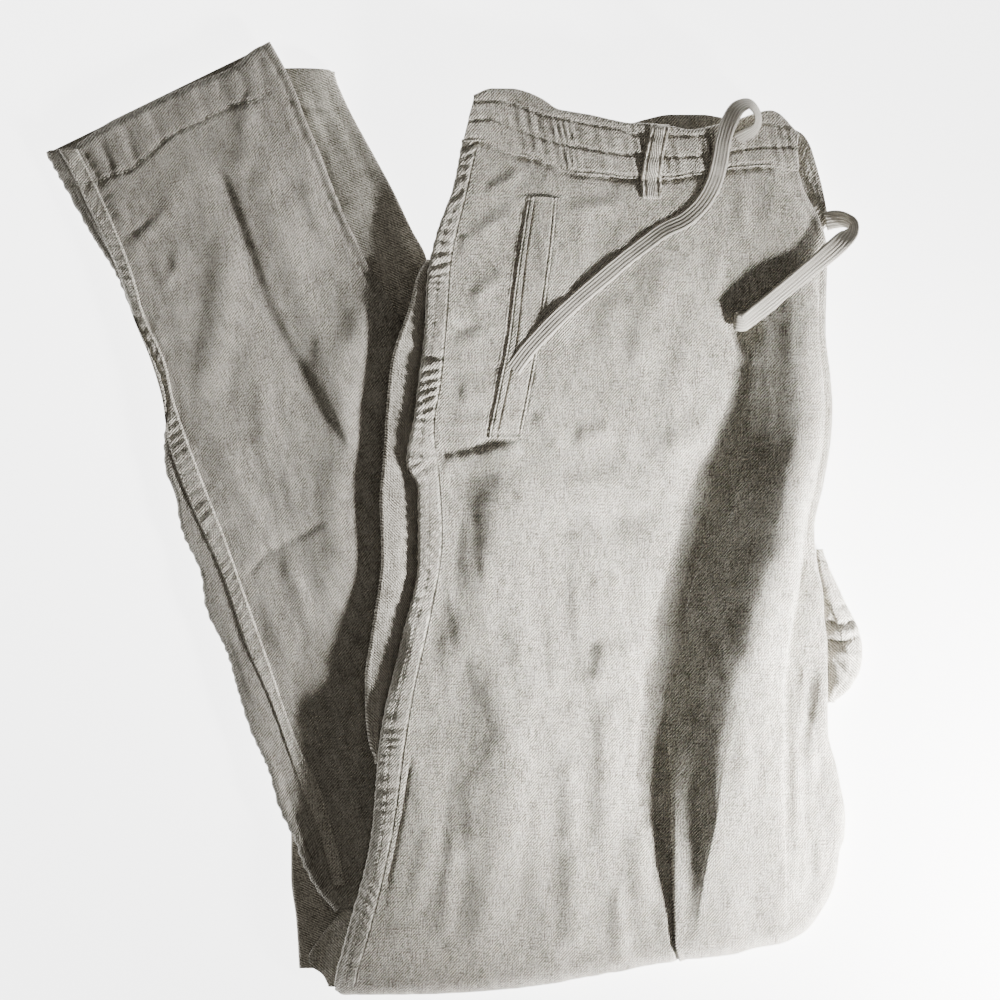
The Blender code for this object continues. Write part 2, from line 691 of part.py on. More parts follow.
def left_under_columns(down, inner, outer):
    """The left leg's lower face from its inseam to its outer edge, with the step down off the right leg."""
    steps = [left_step_column(away, down, outer[:, 0] + room) for away, room in LEG_STEP]
    plan = [inner * (1 - share) + steps[0] * share for share in (0.0, 0.33, 0.67)]
    plan += steps
    plan += [0.5 * (steps[-1] + outer), outer]
    plan = np.stack(plan, axis=1)
    return np.concatenate([plan, left_leg_floor(plan[:, :, 0], plan[:, :, 1])[:, :, None]], axis=2)


def left_back_grid():
    """From the inseam, under the leg, round its outer edge and up to the outseam."""
    lay = left_leg_lay()
    down = row_places(LEG_ROWS)
    top = lay.points((0.0, 0.5, 0.965), down)
    inner = lay.points((2.0,), down)[:, 0, :2]
    inner[:, 0] += LEG_EDGE_RADIUS - 0.4
    under = left_under_columns(down, inner, top[:, 0, :2])
    half_height = (top[:, 0, 2] - under[:, -1, 2]) / 2
    direction = outward(top[:, 0], top[:, 1])
    turn_columns = []
    for angle in (150, 120, 90, 60, 30):
        turn = math.radians(angle)
        spot = top[:, 0].copy()
        spot[:, :2] += direction * OUTER_LEG_ROLL * math.sin(turn)
        spot[:, 2] -= half_height * (1 - math.cos(turn))
        turn_columns.append(spot)
    return np.concatenate([under, np.stack(turn_columns, axis=1), top], axis=1)


def make_left_back(collection):
    return make_cloth("back_left", left_back_grid(), LINEN_SHADE, collection)


def make_left_outseam(collection):
    """The felled outseam of the left leg, over the edges of its front and back."""
    points = left_leg_lay().points((0.55, 0.78, 1.0, 1.05), row_places(LEG_ROWS))
    points = lifted(points, SEAM_GAP + FELL_THICKNESS + 0.35)[:-1]
    return make_cloth("outseam_left", points, SEAM_LINEN, collection, FELL_THICKNESS)


def right_leg_lay(height):
    left = with_height(RIGHT_LEG_LEFT, height)
    right = with_height(RIGHT_LEG_RIGHT, height)
    hem = profile(RIGHT_HEM, 0, 1)
    end = Profile((-260, 0), (RIGHT_LEG_END, RIGHT_LEG_END))
    inset = LEG_EDGE_RADIUS - 0.4
    return Lay((moved_guide(left, inset), moved_guide(right, -inset)), hem, end)


def make_right_back_lower(collection):
    points = right_leg_lay(LOWER_LEG_HEIGHT).points(stations((5,)), row_places(15))
    radius = LEG_EDGE_RADIUS - 0.4
    points = rolled(points, "left", radius, (45, 90), CLOTH + 0.4)
    points = rolled(points, "right", radius, (45, 90), CLOTH + 0.4)
    return make_cloth("back_right_lower", points, LINEN_SHADE, collection)


def make_right_front_lower(collection):
    points = right_leg_lay(CLOTH).points(stations((4,)), row_places(15))
    return make_cloth("front_right_lower", points, LINEN_SHADE, collection)


def make_knee_turn(collection):
    """The right back's knee, which climbs from the lower leg to the side seam's end."""
    left = (
        (-243, -72, 12.2), (-258, -84, 7.6), (-270, -91, 6.7), (-275, -90, 6.7), (-280, -83, 6.7),
        (-287, -79, 6.4),
    )
    right = ((-243, -63.7, 12.4), (-262, -67.7, 10.6), (-275, -70.7, 9.6), (-287, -73.7, 8.2))
    head = Profile((-260, 0), (-243, -243))
    foot = Profile((-260, 0), (-286, -286))
    points = Lay((left, right), head, foot).points(stations((3,)), row_places(9))
    return make_cloth("back_right_knee", points, LINEN, collection)


def gathers(x):
    """The small waves of the gathered casing."""
    window = ease((x - 24) / 8) * ease((112 - x) / 5) + ease((x - 127) / 4) * ease((163 - x) / 5)
    return GATHER_HEIGHT * window * np.sin(2 * math.pi * (x + 1.4 * np.sin(x / 11)) / GATHER_PERIOD)


def make_front_band(collection):
    """The right front's waistband: a gathered casing, rolled over at its top edge."""
    seam = profile(WAIST_SEAM, 0, 1)
    top = profile(FRONT_BAND_TOP, 0, 1)
    count = 80
    share = np.linspace(0, 1, count)
    low_x = 4.6 + (208.5 - 4.6) * share
    high_x = 11 + (207.0 - 11) * share
    radius = 2.4
    height = Profile((0, 60, 130, 165, 195, 210), (24.4, 25.2, 23.4, 22.4, 21.0, 18.2))
    rows = []
    for place in (0.0, 0.45, 1.0):
        x = high_x + (low_x - high_x) * place
        y = (top(high_x) - radius) * (1 - place) + (seam(low_x) + 2 * SEAM_GAP) * place
        bulge = 0.9 * math.sin(math.pi * min(place + 0.15, 1.0))
        wave = gathers(x) * (0.55 if place in (0.0, 1.0) else 1.0)
        rows.append(np.stack([x, y, height(x) + bulge + wave], axis=1))
    points = rolled(np.array(rows), "head", radius, (60, 120))
    return make_cloth("waistband_right", points, LINEN, collection, CASING_THICKNESS - 0.6)


def make_back_band(collection):
    """The back's waistband, folded in half at the centre back."""
    seam = profile(WAIST_SEAM, 0, 1)
    top = profile(BACK_BAND_TOP, 0, 1)
    share = np.linspace(0, 1, 16)
    upper_height = Profile((0, 120, 200), (16.6, 16.2, 14.4))
    lower = 4.6
    rows = []
    for place in (0.0, 0.5, 1.0):
        high_x = 13 + (194.0 - 13) * share
        low_x = 6 + (190.0 - 6) * share
        x = high_x + (low_x - high_x) * place
        y = top(high_x) * (1 - place) + (seam(low_x) + 1.2) * place
        upper = np.stack([x, y, upper_height(x)], axis=1)
        radius = (upper[-1, 2] - lower) / 2
        turn = np.radians((30, 60, 90, 120, 150))
        bend = np.stack(
            [
                upper[-1, 0] + radius * np.sin(turn),
                np.full(len(turn), upper[-1, 1]),
                lower + radius * (1 + np.cos(turn)),
            ],
            axis=1,
        )
        under = upper[::-1].copy()
        under[:, 2] = lower
        rows.append(np.concatenate([upper, bend, under]))
    return make_cloth("waistband_back", np.array(rows), LINEN_SHADE, collection, CASING_THICKNESS - 0.6)


def left_band_grid():
    keys = np.arange(len(LEFT_BAND))
    curves = [Profile(keys, column(LEFT_BAND, index)) for index in range(5)]
    at = np.linspace(0, len(LEFT_BAND) - 1, 3 * len(LEFT_BAND))
    high_x, high_y, low_x, low_y, height = [curve(at) for curve in curves]
    rows = []
    for place in (0.0, 0.5, 1.0):
        x = high_x * (1 - place) + low_x * place
        y = high_y * (1 - place) + low_y * place
        rows.append(np.stack([x, y, height], axis=1))
    return np.array(rows)


def make_left_band(collection):
    """The left front's waistband, the lowest, whose end shows past the fold."""
    return make_cloth("waistband_left", left_band_grid(), LINEN_SHADE, collection, CASING_THICKNESS)


def make_pocket(collection, height):
    """The slant pocket's welt and the binding on the other side of its slit."""
    y_places = np.linspace(POCKET[0][0], POCKET[-1][0], 16)
    binding_x, slit_x, welt_x = [profile(POCKET, 0, index)(y_places) for index in (1, 2, 3)]
    pieces = (
        ("pocket_welt", slit_x + POCKET_SLIT / 2, welt_x, 3, FELL_THICKNESS),
        ("pocket_binding", binding_x, slit_x - POCKET_SLIT / 2, 2, BINDING_THICKNESS),
    )
    for name, left_x, right_x, steps, thickness in pieces:
        plan = strip_plan(left_x, y_places, right_x, y_places - 2.0, steps)
        lift = np.full(plan.shape[:2], SEAM_GAP + thickness)
        make_cloth(name, draped(plan, height, lift), SEAM_LINEN, collection, thickness)


def make_belt_loop(collection, height):
    y_places = np.linspace(BELT_LOOP[0][0], BELT_LOOP[-1][0], 13)
    left_x, right_x, proud = [profile(BELT_LOOP, 0, index)(y_places) for index in (1, 2, 3)]
    plan = strip_plan(left_x, y_places, right_x, y_places, 4)
    lift = np.broadcast_to(proud[:, None], plan.shape[:2]) + CLOTH
    make_cloth("belt_loop_right", draped(plan, height, lift), SEAM_LINEN, collection)


def make_left_loop(collection, height):
    """The end of the left front's belt loop, on the end of its waistband."""
    y_places = np.array((203.0, 200.0, 197.0))
    plan = strip_plan(np.array((217.0, 218.0, 219.2)), y_places, np.array((222.5, 223.5, 224.3)), y_places - 3, 3)
    lift = np.full(plan.shape[:2], SEAM_GAP + CLOTH + 0.2)
    make_cloth("belt_loop_left", draped(plan, height, lift), SEAM_LINEN, collection)


def make_seat(collection):
    """The crotch end of the seat, a roll of cloth that comes out from under the fold."""
    y_places = np.linspace(SEAT[0][0], SEAT[-1][0], 15)
    root_x, edge_x = [profile(SEAT, 0, index)(y_places) for index in (1, 2)]
    room = edge_x - root_x
    radius = np.clip(0.42 * room, 1.7, 5.0)
    plan = strip_plan(root_x, y_places, edge_x - radius, y_places, 4)
    puckers = 0.8 * np.sin(y_places / 3.4) * ease((room - 8) / 8)
    crown = np.array((0.0, 1.0, 1.2, 0.6))
    points = np.zeros(plan.shape[:2] + (3,))
    points[:, :, :2] = plan
    points[:, :, 2] = 8.6 + 2.4 * ease(room / 14)[:, None] * (0.4 + crown) + puckers[:, None] * crown
    points = rolled(points, "right", radius, (35, 65, 90), 0.6)
    make_cloth("seat_right", points, LINEN, collection)
    band = lifted(points, SEAM_GAP + FELL_THICKNESS)[1:11, 1:5]
    make_cloth("seat_seam", band, SEAM_LINEN, collection, FELL_THICKNESS)


def cord_profile(guides):
    """The drawstring's flat section."""
    curve = bpy.data.curves.new("drawstring_section", "CURVE")
    curve.dimensions = "2D"
    spline = curve.splines.new("POLY")
    half = CORD_WIDTH / 2
    rise = CORD_THICKNESS / 2
    shoulder = 0.8 * half
    outline = (
        (half, 0.0), (shoulder, rise), (0.0, rise), (-shoulder, rise),
        (-half, 0.0), (-shoulder, -rise), (0.0, -rise), (shoulder, -rise),
    )
    spline.points.add(len(outline) - 1)
    for point, (x, y) in zip(spline.points, reversed(outline)):
        point.co = (x * MM, y * MM, 0, 1)
    spline.use_cyclic_u = True
    obj = bpy.data.objects.new("drawstring_section", curve)
    obj.hide_render = True
    obj.display_type = "WIRE"
    guides.objects.link(obj)
    return obj


def smooth_route(route, spacing):
    """Evenly spaced points on a smooth curve through a route's points."""
    route = np.asarray(route, float)
    reach = np.concatenate([[0.0], np.cumsum(np.linalg.norm(np.diff(route, axis=0), axis=1))])
    slopes = np.gradient(route, reach, axis=0)
    places = np.linspace(0, reach[-1], int(round(reach[-1] / spacing)) + 1)
    left = np.clip(np.searchsorted(reach, places, side="right") - 1, 0, len(reach) - 2)
    span = (reach[left + 1] - reach[left])[:, None]
    t = (places - reach[left])[:, None] / span
    return hermite(route[left], route[left + 1], slopes[left] * span, slopes[left + 1] * span, t)


def make_cord(name, route, section, collection):
    """A flat knitted cord along its route, its broad side kept level."""
    curve = bpy.data.curves.new(name, "CURVE")
    curve.dimensions = "3D"
    curve.twist_mode = "Z_UP"
    curve.bevel_mode = "OBJECT"
    curve.bevel_object = section
    curve.use_fill_caps = True
    spline = curve.splines.new("POLY")
    points = smooth_route(route, CORD_STEP)
    spline.points.add(len(points) - 1)
    for point, place in zip(spline.points, points):
        point.co = (*(place * MM), 1)
    curve.materials.append(make_material(name + "_knit", CORD_KNIT))
    obj = bpy.data.objects.new(name, curve)
    collection.objects.link(obj)


def core_top(across, down):
    """Points just under the thigh front's wall, lower than every part of it round them."""
    lay = thigh_lay()
    points = lay.points(across, down)
    lowest = np.full(points.shape[:2], np.inf)
    across = np.asarray(across)
    for i in np.linspace(-1, 1, 5):
        near_down = np.clip(down + i * np.gradient(down), 0, 1)
        for j in np.linspace(-1, 1, 5):
            near_across = np.clip(across + j * np.gradient(across), 0, 6)
            lowest = np.minimum(lowest, lay.points(near_across, near_down)[:, :, 2])
    points[:, :, 2] = lowest - CLOTH - CORE_GAP
    return points


def layer_edge(top, cloth_height, knee):
    """How far out and how high each ring round the hidden layers is, inside the cloth that is turned down."""
    steps = len(LAYER_EDGE)
    out = np.array(column(LAYER_EDGE, 0))[None] * np.ones((len(top), 1))
    level = np.array(column(LAYER_EDGE, 1))
    z = np.where(level[None] < 0, top[:, None] + level[None], level[None] * np.ones((len(top), 1)))
    radius = cloth_height / 2 - CLOTH - 3.5 * CORE_GAP
    turn = np.pi * (np.arange(steps) + 1) / (steps - 1)
    round_out = radius[:, None] * np.sin(turn)[None]
    round_z = cloth_height[:, None] / 2 + radius[:, None] * np.cos(turn)[None]
    round_out[:, -1] = -1.5
    round_z[:, -1] = 0.0
    knee = knee[:, None]
    return out * (1 - knee) + round_out * knee, z * (1 - knee) + round_z * knee


def make_layers(collection):
    """The hidden layers under the thigh's front, in one solid with rounded layers at its edges."""
    down = np.array(CORE_ROWS) / (THIGH_ROWS - 1)
    top = core_top(CORE_ACROSS, down)
    rows, columns = top.shape[:2]
    cloth = thigh_lay().points(CORE_ACROSS, down)
    path = edge_path(rows, columns) + [(row, 0) for row in range(rows - 2, -1, -1)]
    path += [(0, place) for place in range(1, columns - 1)]
    spots = np.array([top[place] for place in path])
    count = rows + columns - 1
    direction = path_directions(np.concatenate([spots[-1:], spots, spots[:1]]))[1:-1]
    direction[:count] = path_directions(np.array([cloth[place] for place in path[:count]]))
    knee = np.zeros(len(path))
    knee[:rows] = ease((down - 1 + 1.4 * KNEE_BLEND) / KNEE_BLEND)
    knee[rows:count] = 1.0
    heights = np.array([cloth[place][2] for place in path])
    out, z = layer_edge(spots[:, 2], heights, knee)
    reach = np.ones(len(path))
    reach[:rows] = Profile((0.0, 0.1, 0.2, 0.83, 0.87, 0.96, 1.0), (0.1, 0.1, 1.0, 1.0, 0.5, 0.5, 1.0))(down)
    reach[count:] = 0.08
    reach[-(columns - 2) :] = 0.35
    out = out * reach[:, None]
    mesh = grid_mesh("folded_layers", top)
    bm = bmesh.new()
    bm.from_mesh(mesh)
    ring = vertices_at(bm, spots)
    for step in range(out.shape[1]):
        place = np.concatenate([spots[:, :2] + direction * out[:, step, None], z[:, step, None]], axis=1)
        fresh = [bm.verts.new(Vector(spot * MM)) for spot in place]
        for index in range(len(path)):
            after = (index + 1) % len(path)
            bm.faces.new((ring[after], fresh[after], fresh[index], ring[index]))
        ring = fresh
    bm.faces.new(ring[::-1])
    bmesh.ops.recalc_face_normals(bm, faces=bm.faces)
    bm.to_mesh(mesh)
    bm.free()
    return add_object("folded_layers", mesh, LINEN_SHADE, collection)


def main():
    for obj in list(bpy.data.objects):
        bpy.data.objects.remove(obj)
    parts = make_collection("linen_drawstring_trousers")
    guides = make_collection("guides", shown=False)
    thigh = make_front_thigh(parts)
    make_side_seam(parts)
    make_back_roll(parts)
    make_left_front(parts)
    make_left_back(parts)
    make_left_outseam(parts)
    make_right_back_lower(parts)
    make_right_front_lower(parts)
    make_knee_turn(parts)
    band = make_front_band(parts)
    make_back_band(parts)
    left_band = make_left_band(parts)
    make_seat(parts)
    make_layers(parts)
    bpy.context.view_layer.update()
    make_pocket(parts, surface_finder([thigh]))
    make_belt_loop(parts, surface_finder([thigh, band]))
    make_left_loop(parts, surface_finder([left_band]))
    section = cord_profile(guides)
    make_cord("drawstring_right", DRAWSTRING_RIGHT, section, parts)
    make_cord("drawstring_left", DRAWSTRING_LEFT, section, parts)


main()
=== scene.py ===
"""Linen drawstring trousers, folded in half and laid flat with the legs turned under at the knee.

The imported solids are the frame. Each piece of cloth here is a thin shell over its own solid, with the
creases, puckers, stitches and weave. Tables and meshes are in millimetres, in the frame's own axes:
+X right, +Y to the waist, +Z up. UVs and the sizes in materials are in metres.
"""

import math

import bpy
import numpy as np
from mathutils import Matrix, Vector
from mathutils.bvhtree import BVHTree


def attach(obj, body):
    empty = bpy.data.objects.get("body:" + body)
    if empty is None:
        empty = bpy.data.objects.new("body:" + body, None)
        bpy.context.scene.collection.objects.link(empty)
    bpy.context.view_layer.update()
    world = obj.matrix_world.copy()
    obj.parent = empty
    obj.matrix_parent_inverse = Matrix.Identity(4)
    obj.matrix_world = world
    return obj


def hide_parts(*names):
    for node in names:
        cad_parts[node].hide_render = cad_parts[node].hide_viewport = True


MM = 0.001
SETTLING_STEPS = 24
FOLD_RADIUS = 5.0
FOLD_HEM = 5.2
OUTER_LEG_ROLL = 3.2
LEG_EDGE_RADIUS = 2.2
LOWER_CLOTH_FLOOR = 5.0
LEFT_LEG_END = -239.5
LEFT_LEG_TURN = 0.24
RIGHT_LEG_END = -277
# The thigh's side and the roll of the back panel lift from here down, as the cloth turns under at the knee.
KNEE_LIFT_START = -82
KNEE_LIFT_LENGTH = 44

# Guide lines of the right thigh's front, from the side seam to the fold. Columns: y, x, height.
SIDE_EDGE = (
    (230, 4, 23), (200, -2, 24), (175, -11, 25), (149, -17, 25), (113, -19, 25), (81, -23, 25),
    (63, -25, 25), (34, -30, 24.5), (17, -23, 24), (-26, -23, 23), (-74, -33, 21.5), (-127, -45, 19.5),
    (-203, -53, 16.5), (-252, -66, 15), (-288, -76, 13),
)
SEAM_LINE = (
    (230, 14, 23), (194, 6, 24.5), (160, -2, 25), (123, -5, 25.5), (81, -9, 25.5), (55, -13, 25),
    (26, -10, 24.5), (-12, -8, 24), (-59, -15, 23), (-105, -25, 22), (-141, -31, 21), (-191, -38, 20),
    (-252, -52, 19), (-288, -63, 18),
)
FLAP_EDGE = (
    (224, 193, 18), (190, 203, 19), (157, 214, 20.5), (130, 217, 24.5), (108, 218, 28), (72, 219.5, 29.6),
    (35, 216, 31.4), (11, 210.5, 33), (-17, 207, 33), (-41, 206, 31), (-75, 200, 31.5), (-111, 196, 30),
    (-148, 196, 28.5), (-203, 197, 26), (-252, 195, 20),
)
FLAP_FOOT = (
    (224, 196, 17), (190, 206, 18), (157, 217, 19.5), (130, 220, 22.5), (108, 221, 25), (72, 222.5, 26),
    (35, 219.5, 27), (11, 214.5, 25), (-17, 211, 20), (-41, 210, 17), (-75, 205, 17), (-111, 202, 18),
    (-148, 202, 20), (-203, 203, 21), (-252, 204, 18),
)
RIGHT_EDGE = (
    (214, 209, 15), (197, 214, 14.5), (180, 223, 14.5), (163, 227, 15.5), (114, 226, 18), (84, 229, 18),
    (66, 230, 18), (47, 229, 18), (23, 225, 18), (-8, 219, 16.5), (-30, 221, 16), (-45, 224, 16),
    (-62, 225, 16), (-79, 227, 16), (-117, 227, 16), (-136, 228, 16), (-154, 233, 16), (-178, 236, 16),
    (-200, 235, 14),
)
# Where the waistband is sewn on, and the fold at the knee. Columns: x, y.
WAIST_SEAM = (
    (3, 230), (11, 231), (20, 230), (27, 226), (34, 223), (45, 221), (57, 217), (68, 212), (88, 210),
    (108, 208), (131, 208), (142, 210), (158, 211), (167, 214), (176, 215), (191, 216), (203, 214),
    (213, 213), (227, 211),
)
KNEE_EDGE = (
    (-80, -288), (-68, -291), (-22, -292), (36, -288), (107, -276), (127, -272), (142, -270),
    (179, -264), (214, -252), (224, -239), (230, -227), (234, -212), (236, -197),
)
KNEE_HEIGHT = (
    (-80, 13), (-63, 17.5), (-20, 19.2), (60, 19.2), (131, 18.6), (141, 21.5), (160, 21), (196, 18.5),
    (220, 15), (236, 14),
)

# The ridge beside the fold, from the thigh's plain part over the pleat to the crest. Columns: y, x, height.
PLAIN_END = (
    (224, 130, 22.5), (157, 148, 22), (108, 150, 21.5), (72, 146, 21), (47, 138, 20.5), (23, 124, 20),
    (-14, 113, 19.5), (-63, 101, 19.5), (-111, 95, 19.5), (-172, 95, 19.5), (-209, 100, 20),
    (-252, 108, 20.5), (-279, 114, 19.5),
)
VALLEY = (
    (224, 158, 22), (190, 166, 21.5), (157, 170, 20.5), (130, 171, 19.5), (108, 172, 18), (72, 168, 17),
    (47, 160, 16), (23, 147, 15), (-14, 137, 15), (-50, 127, 15), (-81, 120, 15), (-111, 116.5, 15),
    (-148, 113, 15), (-185, 115, 16), (-221, 122, 19), (-252, 128.5, 21.3), (-279, 131, 19),
)
PLEAT_FOOT = (
    (224, 164, 22), (190, 173, 21.5), (157, 178, 20.8), (130, 180, 20.8), (108, 181, 20.8), (72, 179, 20.4),
    (47, 172, 19.6), (23, 162, 19.4), (-14, 152, 19.4), (-50, 142, 19.4), (-81, 136, 19.2), (-111, 133, 18.4),
    (-148, 131.5, 16.6), (-185, 130.5, 15.8), (-221, 131, 17.5), (-252, 132.3, 19.5), (-279, 133.5, 18),
)
PLEAT_EDGE = (
    (224, 166, 22), (190, 175, 21.5), (157, 180, 20.9), (130, 182, 21.3), (108, 183, 21.6), (72, 181, 21.2),
    (47, 174, 20.5), (23, 164, 20.3), (-14, 151.5, 19.3), (-50, 138.5, 17.8), (-81, 131.0, 16.8),
    (-111, 128.5, 17.4), (-148, 129.5, 18.9), (-185, 132, 22.2), (-221, 132.3, 23.4), (-252, 133.3, 23.1),
    (-279, 134.5, 20.5),
)
RIDGE_SLOPE = (
    (224, 173, 21.3), (190, 182, 21.5), (157, 190, 21.5), (130, 193, 23.4), (108, 194, 25.6), (72, 193, 26.0),
    (47, 189, 26.4), (23, 182, 27.6), (-14, 174, 28.4), (-50, 164, 28.6), (-81, 157, 28.6),
    (-111, 151, 28.2), (-148, 147, 27.6), (-185, 145, 25.6), (-221, 142.5, 24.6), (-252, 140, 23.3),
    (-279, 137, 20.5),
)
RIDGE_BROW = (
    (224, 180, 20.5), (190, 190, 21.5), (157, 200, 22), (130, 203, 26), (108, 206, 30), (72, 207, 31.4),
    (47, 205, 32.4), (23, 200, 34.4), (-14, 194, 36), (-50, 185, 36.6), (-81, 176, 36), (-111, 168, 34.8),
    (-148, 160.5, 33.9), (-185, 155.5, 31.3), (-221, 149, 27.2), (-252, 144, 24), (-279, 139.5, 20.5),
)
RIDGE_TOP = (
    (224, 188, 19.5), (190, 198, 20.5), (157, 207, 21.8), (130, 210, 26.6), (108, 212, 30.6),
    (72, 212.6, 32.1), (47, 210.6, 33.2), (23, 206.5, 35), (-14, 200, 36.8), (-50, 191.5, 37.4),
    (-81, 183, 36.8), (-111, 175, 35.6), (-148, 167.5, 34.7), (-185, 162, 32.0), (-221, 154, 28),
    (-252, 149, 24.5), (-279, 142, 20.5),
)

# Guide lines of the left lower leg. Columns: y, x, height of the cloth.
LEFT_LEG_EDGE = (
    (225, -253, 6), (200, -239, 6.4), (175, -225, 6.8), (151, -210, 7.4), (127, -200, 7.9),
    (102, -188, 8.3), (78, -179, 8.6), (66, -178, 8.6), (47, -180, 8.4), (29, -179, 8.2), (17, -174, 8.2),
    (-8, -169, 8.2), (-32, -158, 8.4), (-56, -154, 8.6), (-81, -142, 9), (-105, -135, 9),
    (-130, -127, 9.5), (-154, -116, 10), (-178, -109, 10.5), (-196, -100, 11), (-210, -95, 11.5),
    (-227, -86, 12), (-236, -78, 12), (-247, -69, 12),
)
LEFT_OUTSEAM = (
    (225, -233, 8.8), (200, -225, 8.8), (175, -214, 8.9), (147, -201, 9), (123, -190, 9),
    (96, -177.5, 9), (72, -170, 9.1), (44, -168, 9.3), (9, -156, 9.6), (-33, -139, 10),
    (-77, -124, 10.5), (-113, -110, 11), (-162, -91, 11.5), (-195, -79, 12), (-216, -72, 12.2),
    (-227, -70, 12.2), (-247, -71, 12.2),
)
LEFT_INSEAM = (
    (292, -115, 9.4), (276, -106, 9.6), (261, -99, 9.8), (242, -92, 10), (226, -85, 10.3),
    (203, -76, 10.6), (186, -69, 10.8), (167, -60, 11), (151, -52, 11), (133, -41, 11), (111, -31, 11),
    (84, -25, 11), (34, -28, 11.5), (-26, -22, 12), (-74, -32, 12), (-127, -44, 12.3),
    (-203, -53, 12.5), (-247, -64, 12.5),
)
LEFT_HEM = (
    (-253, 225), (-236, 228), (-217, 240), (-187, 255), (-160, 267), (-135, 278), (-126, 286),
    (-115, 292),
)
# Guide lines of the right lower leg, which lies under the left one. Columns: y, x.
RIGHT_LEG_LEFT = (
    (215, -208), (72, -158), (-50, -131), (-111, -117), (-148, -107), (-181, -103), (-197, -102),
    (-221, -102), (-246, -99), (-277, -97),
)
RIGHT_LEG_RIGHT = (
    (270, -75), (250, -66), (224, -52), (200, -39), (175, -27), (160, -19), (133, -16), (81, -21),
    (34, -27), (-26, -21), (-74, -31), (-127, -43), (-203, -51), (-252, -64), (-277, -72),
)
RIGHT_HEM = ((-210, 215), (-156, 247), (-120, 267), (-106, 276), (-79, 275), (-70, 266))
# How far past the right lower leg's edge the left one has come down from it, and where it starts to.
LEG_STEP_FOOT = -12.5
LEG_STEP_TOP = -2.5
# The right back's edge, which rolls out from under the side seam. Columns: y, x.
BACK_ROLL = (
    (167, -15), (160, -17), (149, -24), (128, -30), (99, -40), (65, -44), (34, -46), (11, -48), (-23, -47),
    (-70, -53), (-100, -57), (-127, -56), (-139, -54), (-146, -51),
)
# The right back where it turns at the knee, beside the lower legs. Columns: y, x, height of the cloth.
KNEE_TURN_LEFT = (
    (-243, -72, 12.2), (-258, -84, 7.6), (-270, -91, 6.7), (-275, -90, 6.7), (-280, -83, 6.7),
    (-287, -79, 6.4),
)
KNEE_TURN_RIGHT = ((-243, -63.7, 12.4), (-262, -67.7, 10.6), (-275, -70.7, 9.6), (-287, -73.7, 8.2))
# The seat seam's middle. Columns: y, x.
SEAT_SEAM = ((-27, 223.5), (-40, 227), (-55, 232.5), (-70, 238), (-84, 241.5))
# The waistbands' top edges. Columns: x, y.
FRONT_BAND_TOP = (
    (11, 257), (22, 261), (33, 261), (39, 260), (51, 255), (60, 249), (69, 247), (81, 245), (94, 242),
    (106, 240), (115, 240), (131, 238), (142, 236), (158, 239), (170, 242), (185, 247), (191, 248),
    (196, 246), (203, 239), (208, 233),
)
BACK_BAND_TOP = (
    (12, 252), (60, 245), (94, 239), (108, 241), (115, 243), (131, 246), (150, 246), (164, 244),
    (185, 243), (198, 236), (203, 230),
)
# The left front's waistband. Columns: x and y of its top edge, x and y of its seam, height of the cloth.
LEFT_BAND = (
    (14, 250, 4, 232.5, 3.6), (63, 241, 57, 219, 3.6), (118, 237, 108, 210, 3.6),
    (173, 240, 160, 213, 3.6), (198, 240, 191, 218, 4.0), (210, 237, 204, 216.5, 5.0),
    (216, 230, 209, 212, 6.6), (220, 218, 211, 202, 8.2), (224, 203, 213, 192, 8.4),
    (226.5, 191, 217, 183, 8.0), (228.5, 180, 221, 174, 7.0),
)
# The slant pocket. Columns: y, x of the binding's edge, x of the slit, x of the welt's edge.
BINDING, SLIT, WELT = 1, 2, 3
POCKET = (
    (193, 44.5, 47.5, 61), (171, 41, 44, 59), (140, 36.5, 40, 55), (105, 32, 36, 50), (78, 26.5, 30.5, 45),
    (51, 21, 24.5, 39.5),
)
# The belt loop. Columns: y, x of its left edge, x of its right edge, height over the cloth under it.
BELT_LOOP = (
    (239, 118, 130, 0.5), (233, 117, 129, 1.2), (224, 115, 127, 1.8), (214, 113, 125.5, 1.8),
    (206, 112, 125, 1.6), (199, 112.5, 125, 1.0), (194, 113, 125, 0.5),
)
# The end of the left belt loop. Columns: y, x of its left edge, x of its right edge.
LEFT_LOOP = ((204, 216.8, 222.0), (196.5, 219.4, 224.6))
# Routes of the drawstring's two free ends. Columns: x, y, z, and the lean of its flat side in degrees.
DRAWSTRING_RIGHT = (
    (171, 229, 25.4, 20), (177, 233, 26.8, 40), (182.5, 238, 29.2, 62), (183, 244, 31.8, 62),
    (177, 251, 34.0, 48), (171.5, 249, 34.8, 30), (166, 241, 33.2, 16), (162, 229, 30.8, 8),
    (160, 217, 28.6, 4), (157, 205, 27.4, 0), (150, 192, 27.0, 10), (139, 181.5, 27.6, 38),
    (126, 175, 29.0, 52), (115, 167, 29.8, 20), (102, 157, 30.2, 4), (89, 146, 30.0, 0),
    (76, 135, 29.6, 0), (64, 124, 29.0, 0), (53, 113, 28.4, 0), (43, 102, 27.8, 0),
    (34, 90, 27.4, 0),
)
DRAWSTRING_LEFT = (
    (226, 181.5, 9.2, 0), (231.5, 182.6, 10.4, 12), (237.5, 182.2, 13.2, 40), (241.6, 178.8, 17.2, 58),
    (240.4, 174, 20.0, 40), (234.5, 168, 21.2, 10), (226.6, 161, 22.2, -8), (215.8, 152, 23.8, -16),
    (204, 142, 25.0, -18), (192, 132, 25.0, -18), (182.5, 124.5, 24.2, -16), (175, 118.6, 23.6, -12),
)
